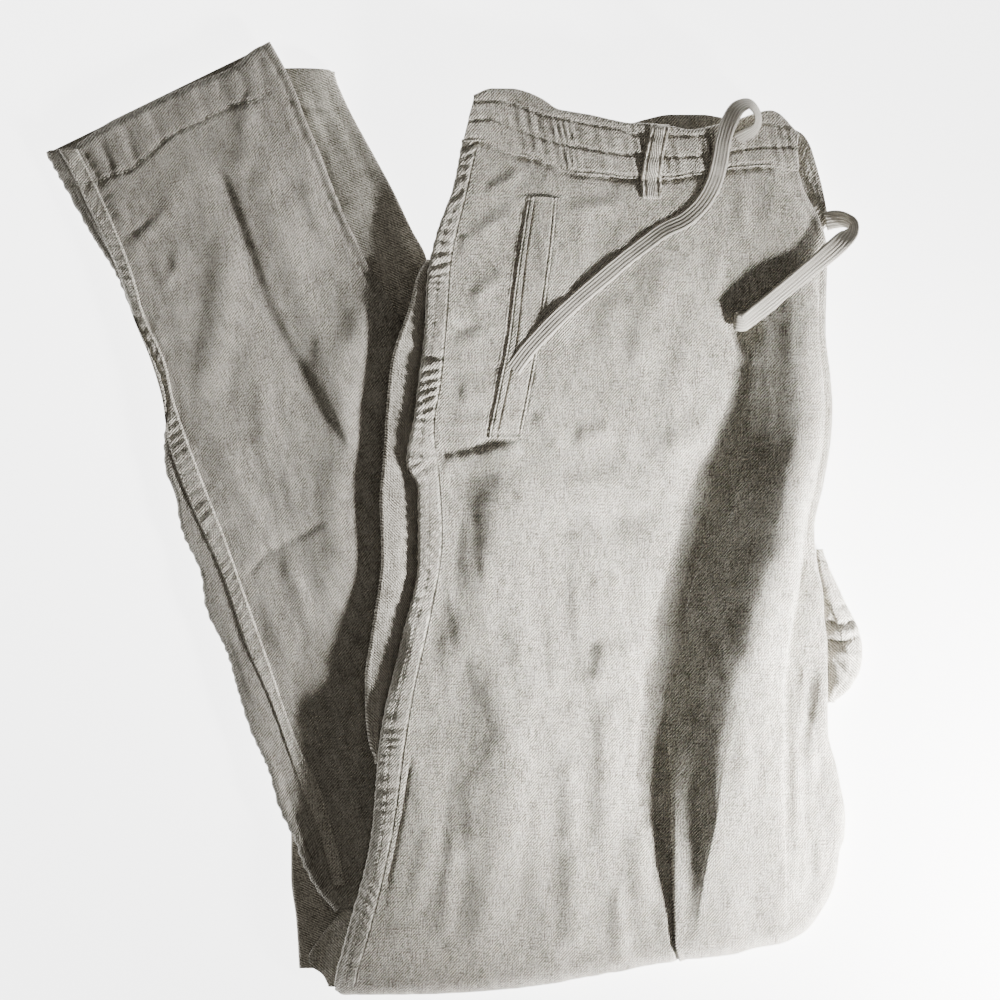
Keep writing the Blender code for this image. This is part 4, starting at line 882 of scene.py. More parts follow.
# What makes the cord uneven, in the same columns as the linen's.
KNIT_SPECKLES = ((0.0005, 0.0014, 1.0, 3.0, 0.55, 0.5), (0.004, 0.012, 1.0, 4.0, 0.30, 0.0))
RIB_PERIOD = 0.0017
KNIT_PERIOD = 0.0011
KNIT_DEPTH = 0.0002


def knit(name):
    """The drawstring: lengthwise ribs of fine knitted stitches. u runs across the cord and v along it."""
    nodes = Nodes(name)
    u, v = nodes.position()
    share, height = 0.66, 0.5
    for place, period, in_color, in_relief in ((u, RIB_PERIOD, 0.22, 0.22), (v, KNIT_PERIOD, 0.05, 0.12)):
        wave = nodes.math("SINE", nodes.math("MULTIPLY", place, 2 * math.pi / period))
        share = nodes.math("MULTIPLY_ADD", wave, in_color, share)
        height = nodes.math("MULTIPLY_ADD", wave, in_relief, height)
    share, height = nodes.uneven(u, v, KNIT_SPECKLES, share, height)
    nodes.color(nodes.mix(share, CORD_DARK, CORD_LIGHT))
    nodes.bump(height, KNIT_DEPTH)
    return nodes.finish(roughness=0.9, sheen=0.15)


def thread_material():
    nodes = Nodes("thread")
    nodes.shader.inputs["Base Color"].default_value = (*THREAD, 1.0)
    return nodes.finish(roughness=0.75, sheen=0.1)


# The thigh's front.


def knee_line():
    """The line where the thigh's flat part ends and its turn at the knee begins."""
    x = np.linspace(KNEE_EDGE[0][0], KNEE_EDGE[-1][0], 120)
    edge = np.stack([x, profile(KNEE_EDGE, 0, 1)(x)], axis=1)
    radius = profile(KNEE_HEIGHT, 0, 1)(x) / 2
    inner = edge + left_of(edge) * radius[:, None]
    smallest_step = 0.05
    forward = np.diff(np.maximum.accumulate(inner[:, 0])) > smallest_step
    keep = np.concatenate([[True], forward])
    return Profile(inner[keep, 0], inner[keep, 1])


def knee_lift(y):
    """How far the cloth has lifted where it turns under at the knee, from 0 to 1."""
    return float(ramp(y, KNEE_LIFT_START, KNEE_LIFT_START - KNEE_LIFT_LENGTH))


def lifted_side(guide):
    """The thigh's side stands a little higher towards the knee, and comes down again at its end."""
    lift = 7.5
    return tuple((y, x, z + lift * knee_lift(y) * float(ramp(y, -292, -262))) for y, x, z in guide)


def thigh_lay():
    guides = (
        lifted_side(moved_guide(SIDE_EDGE, 0.8)),
        lifted_side(SEAM_LINE),
        PLAIN_END,
        VALLEY,
        PLEAT_FOOT,
        PLEAT_EDGE,
        RIDGE_SLOPE,
        RIDGE_BROW,
        RIDGE_TOP,
        FLAP_EDGE,
        FLAP_FOOT,
        moved_guide(RIGHT_EDGE, -FOLD_RADIUS),
    )
    seam = profile(WAIST_SEAM, 0, 1)
    return Lay(guides, lambda x: seam(x) + 0.6, knee_line())


def edge_path(rows, columns):
    """Places of a grid's points down its right side and then back along its foot."""
    path = [(row, columns - 1) for row in range(rows)]
    return path + [(rows - 1, place) for place in range(columns - 2, -1, -1)]


def path_directions(spots, rounds):
    """Directions out of an edge path, evened out along it."""
    direction = left_of(spots)
    for _ in range(rounds):
        even = direction.copy()
        even[1:-1] = direction[:-2] + direction[1:-1] + direction[2:]
        direction = unit(even)
    return direction


SKIRT_STEPS = 14
SKIRT_SIDE_TURN = 0.625
SKIRT_KNEE_TURN = 168


def skirt(points, uv):
    """The turned-down edge: it hangs down on the right side and makes the full turn at the knee."""
    rows, columns = points.shape[:2]
    path = edge_path(rows, columns)
    spots = np.array([points[place] for place in path])
    spots_uv = np.array([uv[place] for place in path])
    direction = path_directions(spots, rounds=9)
    height = spots[:, 2][:, None]
    side = ramp(np.linspace(0, 1, rows), 0.9, 1.0)
    knee = np.concatenate([side, np.ones(columns - 1)])[:, None]
    steps = np.linspace(0, 1, SKIRT_STEPS + 1)[1:][None]
    side_turn = np.minimum(steps / SKIRT_SIDE_TURN, 1.0) * math.pi / 2
    hang = np.clip((steps - SKIRT_SIDE_TURN) / (1 - SKIRT_SIDE_TURN), 0, 1)
    side_out = FOLD_RADIUS * np.sin(side_turn)
    side_z = height - FOLD_RADIUS * (1 - np.cos(side_turn)) - hang * (height - FOLD_RADIUS - FOLD_HEM)
    knee_turn = steps * math.radians(SKIRT_KNEE_TURN)
    out = side_out * (1 - knee) + height / 2 * np.sin(knee_turn) * knee
    z = side_z * (1 - knee) + height / 2 * (1 + np.cos(knee_turn)) * knee
    plan = spots[:, None, :2] + direction[:, None] * out[:, :, None]
    folded = np.concatenate([plan, z[:, :, None]], axis=2)
    route = np.concatenate([spots[:, None], folded], axis=1)
    run = np.cumsum(np.linalg.norm(np.diff(route, axis=1), axis=2), axis=1)
    return folded, spots_uv[:, None] + direction[:, None] * run[:, :, None] * MM


def with_skirt(points, uv):
    """All points, UVs and faces of a grid and its turned-down edge."""
    rows, columns = points.shape[:2]
    folded, folded_uv = skirt(points, uv)
    all_points = np.concatenate([points.reshape(-1, 3), folded.transpose(1, 0, 2).reshape(-1, 3)])
    all_uv = np.concatenate([uv.reshape(-1, 2), folded_uv.transpose(1, 0, 2).reshape(-1, 2)])
    ring = np.array([row * columns + place for row, place in edge_path(rows, columns)])
    faces = [grid_faces(rows, columns)]
    for step in range(folded.shape[1]):
        fresh = rows * columns + step * len(ring) + np.arange(len(ring))
        faces.append(np.stack([ring[:-1], ring[1:], fresh[1:], fresh[:-1]], axis=1))
        ring = fresh
    return all_points, all_uv, np.concatenate(faces)


def front_relief(x, y):
    relief = (0.85 + 0.40 * ramp(y, -40, -100)) * creases(FRONT_CREASES, x, y)
    valley = profile(VALLEY, 0, 1)(y)
    brow = profile(RIDGE_BROW, 0, 1)(y)
    in_pleat = ramp(x, valley, valley + 8) * ramp(x, brow + 3, brow - 5) * ramp(y, 130, 110)
    lively = (0.55 + 0.45 * ramp(y, -300, -240)) * (1 - 0.65 * in_pleat)
    relief += crinkle(x + 0.10 * y, y, 11, 1.9) * lively
    relief += 0.35 * ramp(y, -60, -140) * smooth_noise(x / 7, y / 90, 77)
    relief += 0.30 * ramp(x, 165, 195) * ramp(y, -90, -130) * smooth_noise(x / 5, y / 46, 78)
    relief += puckers(drawn(SEAM_LINE), x, y, period=8.0, reach=6.0, height=0.45, seed=21, side=1)
    relief += puckers(drawn(WAIST_SEAM, down=False), x, y, period=7.5, reach=8.0, height=0.55, seed=22)
    relief -= 1.7 * bell(profile(WAIST_SEAM, 0, 1)(x) - y - 2.4, 1.7)
    welt, binding = drawn(POCKET, WELT, 1.0), drawn(POCKET, BINDING, -3.5)
    relief += puckers(welt, x, y, period=9.0, reach=5.0, height=0.28, seed=23, side=1)
    relief += puckers(binding, x, y, period=8.0, reach=6.0, height=0.40, seed=24, side=-1)
    for edge, shift in ((WELT, 2.2), (BINDING, -2.8)):
        relief += groove(drawn(POCKET, edge, shift), x, y, half_width=0.9, depth=0.35)
    return relief


def make_front(material):
    across = stations((12, 96, 22, 12, 4, 14, 12, 8, 12, 5, 14))
    points = thigh_lay().points(across, np.linspace(0, 1, 372))
    uv = points[:, :, :2] * MM
    points[:, :, 2] += front_relief(points[:, :, 0], points[:, :, 1])
    all_points, all_uv, faces = with_skirt(points, uv)
    obj = mesh_object("front_right_cloth", all_points, all_uv, faces, material)
    return obj, surface_of(all_points, faces)


# Strips that lie on a panel: seams, welt, binding, loops.


STRIP_SINK = 0.5
STRIP_FLARE = 0.15
STRIP_MARGIN = 0.001


def strip_on(name, left, right, trees, section, material, lift=0.0, relief=None, cross=14, settle=3):
    """A flat strip of cloth over a surface, between two plan lines. section is its height across."""
    share = np.linspace(0, 1, cross)
    plan = left[:, None] * (1 - share)[None, :, None] + right[:, None] * share[None, :, None]
    x, y = plan[:, :, 0], plan[:, :, 1]
    base = smoothed(heights_on(trees, x, y), settle)
    top = base + lift + section(share)[None]
    if relief is not None:
        top = top + relief(x, y, share[None] * np.ones_like(x))
    points = np.dstack([x, y, top])
    uv = plan * MM
    out = STRIP_FLARE * unit(right - left)
    sides = []
    for place, sign in ((0, -1), (-1, 1)):
        low = points[:, place].copy()
        low[:, 2] = base[:, place] - STRIP_SINK
        low[:, :2] += sign * out
        sides.append(low[:, None])
    points = np.concatenate([sides[0], points, sides[1]], axis=1)
    uv = np.concatenate([uv[:, :1] - [STRIP_MARGIN, 0], uv, uv[:, -1:] + [STRIP_MARGIN, 0]], axis=1)
    ends = []
    for place in (0, -1):
        low = points[place].copy()
        low[1:-1, 2] = base[place] - STRIP_SINK
        ends.append(low[None])
    points = np.concatenate([ends[0], points, ends[1]])
    uv = np.concatenate([uv[:1] + [0, STRIP_MARGIN], uv, uv[-1:] - [0, STRIP_MARGIN]])
    return grid_object(name, points, material, uv), points


def plan_line(y, x):
    return np.stack([x, y], axis=1)


def traced(table, y, value=1, shift=0.0):
    """A smooth line through a table whose first column is y, at each of these y."""
    return plan_line(y, profile(table, 0, value)(y) + shift)


def traced_across(table, x, shift=0.0):
    """A smooth line through a table whose first column is x, at each of these x."""
    return plan_line(profile(table, 0, 1)(x) + shift, x)


def rounded(height, soft):
    """A strip's section: flat, with rounded sides."""
    return lambda share: height * ease(share / soft) * ease((1 - share) / soft)


STITCH_SPACING = 2.9
STITCH_LENGTH = 2.1
STITCH_RADIUS = 0.30
STITCH_LIFT = 0.05
STITCH_JITTER = 0.12
STITCH_START = 0.3
# A stitch is a short spindle of thread that dips into the cloth. Columns: share of its length, girth, rise.
SPINDLE = ((0.0, 0.25, -0.28), (0.16, 0.8, 0.02), (0.5, 1.0, 0.12), (0.84, 0.8, 0.02), (1.0, 0.25, -0.28))
SPINDLE_SIDES = 6
SPINDLE_CLEARANCE = 0.10
# The stitches of each kind: both ends, and the cloth's height under the middle.
STITCHES = {}


def stitch_row(kind, line, trees):
    """Notes a row of stitches along a plan line, on the surface under it."""
    reach = measured(line)
    starts = np.arange(STITCH_START, reach[-1] - STITCH_LENGTH, STITCH_SPACING)
    random = np.random.RandomState(len(STITCHES.get(kind, ())) + 5)
    starts = starts + random.uniform(-STITCH_JITTER, STITCH_JITTER, len(starts))
    for start in starts:
        at = np.array([start, start + STITCH_LENGTH])
        ends = np.stack([np.interp(at, reach, line[:, 0]), np.interp(at, reach, line[:, 1])], axis=1)
        ends_z = heights_on(trees, ends[:, 0], ends[:, 1]) + STITCH_LIFT
        middle = ends.mean(axis=0)
        crest = heights_on(trees, middle[:1], middle[1:])[0]
        STITCHES.setdefault(kind, []).append((*np.column_stack([ends, ends_z]), crest))


def build_stitches(kind, material):
    """One mesh of all the stitches of a kind."""
    turn = np.linspace(0, 2 * math.pi, SPINDLE_SIDES, endpoint=False)[:, None]
    rings = []
    for start, end, crest in STITCHES[kind]:
        along = end - start
        side = unit(np.array([-along[1], along[0], 0.0]))
        around = np.cos(turn) * side + np.sin(turn) * np.array([0.0, 0.0, 1.0])
        for share, girth, rise in SPINDLE:
            middle = start + along * share
            middle[2] += rise
            if share == 0.5:
                middle[2] = max(middle[2], crest + SPINDLE_CLEARANCE)
            rings.append(middle + STITCH_RADIUS * girth * around)
    index = np.arange(len(rings))
    index = index[index % len(SPINDLE) < len(SPINDLE) - 1]
    low = index[:, None] * SPINDLE_SIDES + np.arange(SPINDLE_SIDES)
    high = low + SPINDLE_SIDES
    faces = np.stack([low, np.roll(low, -1, axis=1), np.roll(high, -1, axis=1), high], axis=-1).reshape(-1, 4)
    points = np.concatenate(rings)
    return mesh_object("stitches_" + kind, points, points[:, :2] * MM, faces, material)


def ladder(x, y, share, line, seed, height, period):
    """The puckers that run across a felled seam like rungs."""
    along = line_places(line, x, y)[2] * line_length(line) + 1.5 * (share - 0.5)
    wobble = 1.1 * smooth_noise(along / (3.0 * period), share * 0.8, seed)
    wave = np.sin(2 * math.pi * (along / period + wobble))
    strength = 0.6 + 0.4 * smooth_noise(along / 15, share * 0 + 3.3, seed + 1)
    window = np.sin(math.pi * np.clip(share, 0, 1)) ** 0.6
    return height * wave * strength * window


SIDE_SEAM_HEIGHT = 1.15
SIDE_SEAM_ROLL = 2.3
# How the side seam turns under the panel's edge, from its inner end. Columns: how far in, how far down.
SIDE_SEAM_UNDER = ((3.2, 2.1), (1.8, 2.0), (0.7, 1.5), (0.25, 0.9))


def side_seam_grid(tree):
    """The side seam on the thigh, and its base, which is the thigh's surface under it."""
    y = np.linspace(230.5, -276, 470)
    panel, inner, row = [profile(table, 0, 1)(y) for table in (SIDE_EDGE, SEAM_LINE, SIDE_ROW)]
    line = plan_line(y, panel)
    edge = panel - 0.6 + 0.72 * ladder(panel, y, 0.3, line, seed=31, height=0.55, period=8.0)
    width = (inner - edge)[:, None]
    cross = np.concatenate([np.linspace(0, 0.3, 8), np.linspace(0.36, 0.94, 16), [0.97, 1.0]])[None]
    off_edge = width * cross
    x = edge[:, None] + off_edge
    y = y[:, None] * np.ones_like(x)
    cross = cross * np.ones_like(x)
    base = smoothed(heights_on([tree], np.maximum(x, panel[:, None] + 1.2), y), 2)
    top = base + SIDE_SEAM_HEIGHT
    top -= 0.45 * bell(off_edge - (row - edge)[:, None], 0.7)
    top += ladder(x, y, 0.06 + 0.9 * cross, line, seed=31, height=0.95, period=6.8)
    top += ladder(x, y, cross, line, seed=37, height=0.28, period=4.3)
    top += 0.5 * crinkle(x, y, 33, 0.8)
    top -= 1.2 * bell(width - off_edge - 0.8, 0.8)
    short = np.maximum(SIDE_SEAM_ROLL - off_edge, 0)
    top -= 0.9 * (SIDE_SEAM_ROLL - np.sqrt(SIDE_SEAM_ROLL**2 - np.minimum(short, SIDE_SEAM_ROLL) ** 2))
    return np.dstack([x, y, top]), base


def make_side_seam(tree, material):
    """The right side's felled seam, which wraps the panel's outer edge."""
    points, base = side_seam_grid(tree)
    under = [points[:, :1] + [into, 0, -down] for into, down in SIDE_SEAM_UNDER]
    foot = points[:, -1:] + [0.2, 0, 0]
    foot[:, :, 2] = base[:, -1:] - 0.4
    points = np.concatenate(under + [points, foot], axis=1)
    uv = grid_uv(points)
    wrapped = knee_wrap(points[-1])
    run = np.linspace(0.001, 0.03, len(wrapped))[:, None, None]
    uv = np.concatenate([uv, uv[-1:] - run * [0, 1]])
    points = np.concatenate([points, wrapped])
    return grid_object("side_seam_right_cloth", points, material, uv), points


def turned_down(edge, out, drop, degrees):
    """Copies of an edge as it turns down: out is how far it goes level, and drop its radius in height."""
    copies = []
    for turn in np.radians(degrees):
        spots = edge.copy()
        spots[:, :2] += out * math.sin(turn)
        spots[:, 2] -= drop * (1 - math.cos(turn))
        copies.append(spots)
    return copies


def knee_wrap(row):
    """Carries a strip's last row round the knee's fold."""
    radius = np.maximum(row[:, 2], 12.0) / 2
    out = np.stack([-0.22 * radius, -radius - 2.0], axis=1)
    return np.array(turned_down(row, out, radius, np.linspace(8, 150, 16)))


# The lower legs.


def left_leg_floor(x, y):
    """The underside's height: on the right lower leg, and beside it down on the surface."""
    past_edge = x - profile(RIGHT_LEG_LEFT, 0, 1)(y)
    return 0.1 + (LOWER_CLOTH_FLOOR - 0.1) * ramp(past_edge, LEG_STEP_FOOT, LEG_STEP_TOP)


def left_leg_lay():
    outer, inner = moved_guide(LEFT_LEG_EDGE, OUTER_LEG_ROLL), moved_guide(LEFT_INSEAM, -LEG_EDGE_RADIUS)
    return Lay((outer, LEFT_OUTSEAM, inner), profile(LEFT_HEM, 0, 1), level(LEFT_LEG_END))


def leg_relief(x, y):
    relief = 0.85 * creases(LEG_CREASES, x, y)
    relief += crinkle(*turned(x, y, LEFT_LEG_TURN), 41, 1.6)
    hem_row = drawn(LEFT_HEM_ROW, down=False)
    relief += groove(hem_row, x, y, half_width=1.6, depth=0.8)
    relief += puckers(hem_row, x, y, period=8.5, reach=9.0, height=0.35, seed=42)
    outseam, inseam = drawn(LEFT_SEAM_INNER, shift=0.5), drawn(LEFT_INSEAM, shift=-7)
    relief += puckers(outseam, x, y, period=8.0, reach=6.0, height=0.40, seed=43, side=1)
    relief += puckers(inseam, x, y, period=9.0, reach=5.0, height=0.30, seed=44)
    off_hem = np.maximum(profile(LEFT_HEM, 0, 1)(x) - y, 0.0)
    return relief - 1.7 * ease(1 - off_hem / 4.5)


def out_of(edge, inner):
    """Level directions out of an edge, away from the points inside it."""
    direction = left_of(edge)
    inside = inner[:, :2] - edge[:, :2]
    direction[(direction * inside).sum(axis=1) > 0] *= -1
    return direction


def rolled(points, radius, degrees, drop_to=None, drop_steps=3):
    """Rolls a grid's right side down about a fold of this radius, then straight down."""
    edge = points[:, -1]
    reach = np.broadcast_to(radius, len(edge))
    fresh = turned_down(edge, out_of(edge, points[:, -4]) * reach[:, None], reach, degrees)
    if drop_to is not None:
        start = fresh[-1]
        for share in np.linspace(0, 1, drop_steps + 1)[1:]:
            spots = start.copy()
            spots[:, 2] = start[:, 2] * (1 - share) + np.minimum(drop_to, start[:, 2]) * share
            fresh.append(spots)
    return np.concatenate([points, np.stack(fresh, axis=1)], axis=1)


def rolled_left(points, radius, degrees, drop_to, drop_steps):
    """The same for a grid's left side."""
    return rolled(points[:, ::-1], radius, degrees, drop_to, drop_steps)[:, ::-1]


def make_left_front(material):
    across = 1 + np.linspace(0, 1, 92)
    down = np.linspace(0, 1, 366)
    points = left_leg_lay().points(across, down)
    x, y, z = [points[:, :, index] for index in range(3)]
    crown = np.sin(np.linspace(0, math.pi, len(across)))
    z += 1.6 * crown[None] * ease(1.2 - down)[:, None]
    z += leg_relief(x, y)
    inseam = [row for row in LEFT_INSEAM if row[0] > 110]
    z += groove(drawn(inseam, 1, -5.5), x, y, half_width=1.2, depth=1.3)
    points[:, :, 2] = np.maximum(z, 6.7)
    points = rolled(points, LEG_EDGE_RADIUS, (18, 36, 54, 72, 90), LOWER_CLOTH_FLOOR + 1.0)
    uv = grid_uv(points, LEFT_LEG_TURN)
    return grid_object("front_left_cloth", points, material, uv, thickness=0.7), grid_surface(points)


def left_back_grid():
    lay = left_leg_lay()
    down = np.linspace(0, 1, 300)
    across = np.linspace(0, 1, 20)
    top = lay.points(across, down)
    x, y = top[:, :, 0], top[:, :, 1]
    line = drawn(LEFT_SEAM_OUTER, 1, -4.0)
    relief = leg_relief(x, y) + ladder(x, y, 0.5, line, seed=47, height=0.22, period=8.0)
    top[:, :, 2] += relief * ease(across / 0.3)[None]
    edge = top[:, 0]
    inner = lay.points((2.0,), down)[:, 0, :2] + [LEG_EDGE_RADIUS - 0.4, 0]
    share = np.linspace(0, 1, 60)[None, :, None]
    plan = inner[:, None] * (1 - share) + edge[:, None, :2] * share
    floor = left_leg_floor(plan[:, :, 0], plan[:, :, 1])
    scallop = ladder(edge[:, 0], edge[:, 1], 0.5, line, seed=47, height=0.63, period=8.0)
    out = out_of(edge, top[:, 4]) * (OUTER_LEG_ROLL + scallop)[:, None]
    turns = turned_down(edge, out, (edge[:, 2] - floor[:, -1]) / 2, np.linspace(165, 15, 11))
    return np.concatenate([np.dstack([plan, floor]), np.stack(turns, axis=1), top], axis=1)


def make_left_back(material):
    points = left_back_grid()
    obj = grid_object("back_left_cloth", points, material, grid_uv(points, LEFT_LEG_TURN))
    return obj, grid_surface(points)


def make_left_outseam(trees, material):
    y = np.linspace(226, -225, 392)
    outer = traced(LEFT_SEAM_OUTER, y, shift=-0.5)

    def relief(x, y, share):
        rungs = ladder(x, y, share, outer[::6], seed=51, height=0.46, period=6.8)
        return rungs - 0.4 * bell((share - 0.12) * 11, 0.9)

    return strip_on(
        "outseam_left_cloth", outer, traced(LEFT_SEAM_INNER, y), trees, rounded(1.3, 0.1), material,
        lift=0.2, relief=relief, cross=15, settle=2,
    )


def make_right_lower(material, under_material):
    inset = LEG_EDGE_RADIUS - 0.4
    hem = profile(RIGHT_HEM, 0, 1)
    foot = level(RIGHT_LEG_END)
    left = moved_guide(with_height(RIGHT_LEG_LEFT, 4.6), inset)
    right = moved_guide(with_height(RIGHT_LEG_RIGHT, 4.6), -inset)
    share = np.linspace(0, 1, 100)
    points = Lay((left, right), hem, foot).points(share, np.linspace(0, 1, 300))
    x, y, z = [points[:, :, index] for index in range(3)]
    crown = 2.6 * np.sin(math.pi * share) ** 0.5 * ramp(share, 0.75, 0.85)
    z += ramp(y, 60, 120) * (crown[None] + crinkle(*turned(x, y, 0.35), 61, 2.2))
    z += creases(RIGHT_LEG_CREASES, x, y)
    z += 5.5 * ramp(x, -96, -62) * ramp(y, 140, 166) * ramp(y, 262, 202)
    z += groove(drawn(RIGHT_HEM, 1, -24, down=False) + [1, 0], x, y, half_width=1.5, depth=0.7)
    points = rolled_left(points, inset, (30, 60, 90), 1.4, 1)
    points = rolled(points, inset, (20, 40, 60, 80, 90), 1.4, 2)
    uv = np.dstack(turned(points[:, :, 0], points[:, :, 1], 0.3)) * MM
    back = grid_object("back_right_lower_cloth", points, material, uv)
    guides = [with_height(guide, 0.9) for guide in (RIGHT_LEG_LEFT, RIGHT_LEG_RIGHT)]
    under = Lay(guides, hem, foot).points(np.linspace(0, 1, 60), np.linspace(0, 1, 140))
    return back, grid_object("front_right_lower_cloth", under, under_material, thickness=0.8)


def make_back_roll(material):
    """The right back, where it rolls out from under the side seam."""
    side = profile(SIDE_EDGE, 0, 1)
    side_height = profile(SIDE_EDGE, 0, 2)
    crest = []
    plateau = []
    for y, x in BACK_ROLL:
        start = x + LEG_EDGE_RADIUS + 1.0
        room = float(side(y)) - start
        top = min(22.4, float(side_height(y)) + 7.0 * knee_lift(y) - 1.2)
        crest.append((y, start, top + 0.3))
        plateau.append((y, start + 0.62 * room, top - 0.9))
    valley = tuple((y, x + 1.6, 14.0) for y, x, _ in SIDE_EDGE)
    lay = Lay((crest, plateau, valley), level(167), level(-150))
    points = lay.points(stations((14, 14)), np.linspace(0, 1, 240))
    points[:, :, 2] += crinkle(points[:, :, 0], points[:, :, 1], 71, 1.1)
    points = rolled_left(points, LEG_EDGE_RADIUS, (15, 30, 45, 60, 75, 90), 12.5, 3)
    uv = np.dstack([points[:, :, 0] - points[:, :, 2], points[:, :, 1]]) * MM
    return grid_object("back_right_cloth", points, material, uv, thickness=0.7)


def make_knee_turn(material):
    lay = Lay((KNEE_TURN_LEFT, KNEE_TURN_RIGHT), level(-240), level(-288))
    points = lay.points(np.linspace(0, 1, 22), np.linspace(0, 1, 40))
    x, y = points[:, :, 0], points[:, :, 1]
    points[:, :, 2] += crinkle(x, y, 81, 0.6) + creases(KNEE_TURN_CREASES, x, y)
    return grid_object("back_right_knee_cloth", points, material, points[:, :, :2] * MM, thickness=0.9)


# The waistbands.


def gather_wave(x, seed, period=6.4):
    """Uneven gathers along the casing."""
    wobble = 1.2 * smooth_noise(x / 15, x * 0 + 0.5, seed)
    wave = np.sin(2 * math.pi * (x / period + wobble))
    return wave * (0.65 + 0.35 * smooth_noise(x / 9, x * 0 + 1.5, seed + 1))


BAND_ROLL = 2.0
BAND_TILT = 4.2
# The waistbands' heights along them. Columns: x, height.
FRONT_BAND_HEIGHT = ((0, 24.2), (60, 24.6), (130, 23.6), (165, 22.6), (195, 21.0), (210, 18.2))
BACK_BAND_HEIGHT = ((0, 18.2), (120, 18.6), (200, 16.4))
BACK_BAND_UNDERSIDE = 5.2


def front_band_height(x, y, place):
    """The front's casing, gathered between its rows of stitching. place goes from 0 at the top to 1."""
    off_upper, off_lower, off_seam = [
        y - profile(table, 0, 1)(x) for table in (BAND_ROW_UPPER, BAND_ROW_LOWER, WAIST_SEAM)
    ]
    height = profile(FRONT_BAND_HEIGHT, 0, 1)(x) + 1.0 + BAND_TILT * (1 - place)
    height += furrow(off_upper, 1.1, 1.5) + furrow(off_lower, 1.1, 1.5) + furrow(off_seam, 1.2, 1.3)
    tight = ramp(x, 26, 40) * ramp(x, 118, 112) + ramp(x, 124, 128) * ramp(x, 170, 162)
    strength = tight + 0.45 * (1 - tight) + 0.35 * ramp(x, 58, 73)
    slant = x + 0.25 * off_lower
    casing = 0.84 * bell(0.5 * (off_upper + off_lower), 6.5) + 0.60 * bell(off_seam - 6, 6.0)
    height += strength * casing * gather_wave(slant, 91)
    height += strength * 0.34 * bell(off_upper - 5, 3.5) * gather_wave(slant + 3, 95, 5.0)
    return height + crinkle(x, y, 97, 1.4)


def make_front_band(material):
    share = np.linspace(0, 1, 310)
    place = np.linspace(0, 1, 66)[:, None]
    low_x = 4.0 + 205.0 * share
    high_x = 10.6 + 196.8 * share
    high_y = profile(FRONT_BAND_TOP, 0, 1)(high_x) - BAND_ROLL
    low_y = profile(WAIST_SEAM, 0, 1)(low_x) - 1.0
    x = high_x + (low_x - high_x) * place
    y = high_y * (1 - place) + low_y * place
    points = np.dstack([x, y, front_band_height(x, y, place)])
    top = points[0]
    roll = turned_down(top, BAND_ROLL * left_of(top), BAND_ROLL, (170, 150, 130, 110, 90, 70, 50, 30, 15))
    points = np.concatenate([np.array(roll), points])
    obj = grid_object("waistband_right_cloth", points, material, points[:, :, :2] * MM, thickness=0.9)
    return obj, grid_surface(points)


def make_back_band(material):
    """The back's waistband, which is folded over at the centre back and comes back underneath."""
    share = np.linspace(0, 1, 150)
    place = np.linspace(0, 1, 30)[:, None]
    high_x = 13 + 181.0 * share
    low_x = 6 + 184.0 * share
    x = high_x + (low_x - high_x) * place
    high_y, low_y = profile(BACK_BAND_TOP, 0, 1)(high_x), profile(WAIST_SEAM, 0, 1)(low_x) + 1.2
    y = high_y * (1 - place) + low_y * place
    z = profile(BACK_BAND_HEIGHT, 0, 1)(x) + 0.9 * gather_wave(x, 101, 7.0) * bell(place - 0.4, 0.3)
    z += furrow(place - 0.2, 0.05, 0.7)
    upper = np.dstack([x, y, z])
    end = upper[:, -1]
    radius = (end[:, 2] - BACK_BAND_UNDERSIDE) / 2
    out = np.stack([radius, 0 * radius], axis=1)
    fold = np.stack(turned_down(end, out, radius, np.linspace(12, 168, 13)), axis=1)
    under = upper[:, ::-1].copy()
    under[:, :, 2] = BACK_BAND_UNDERSIDE
    points = np.concatenate([upper, fold, under], axis=1)
    return grid_object("waistband_back_cloth", points, material, thickness=0.9)


def make_left_band(material):
    keys = np.arange(len(LEFT_BAND))
    at = np.linspace(0, keys[-1], 200)
    columns = [Profile(keys, column(LEFT_BAND, index))(at) for index in range(5)]
    high_x, high_y, low_x, low_y, height = columns
    place = np.linspace(0, 1, 26)[:, None]
    x = high_x * (1 - place) + low_x * place
    y = high_y * (1 - place) + low_y * place
    z = height + np.sin(math.pi * place) * (0.5 + 0.4 * gather_wave(at * 22, 111, 7.0))
    z += furrow(place - 0.3, 0.06, 0.6) + furrow(place - 0.7, 0.06, 0.6)
    points = np.dstack([x, y, z])
    return grid_object("waistband_left_cloth", points, material, thickness=1.2), grid_surface(points)


# Pocket, loops, seat.


def flat(share):
    """A strip's section with no height of its own."""
    return 0.0 * share


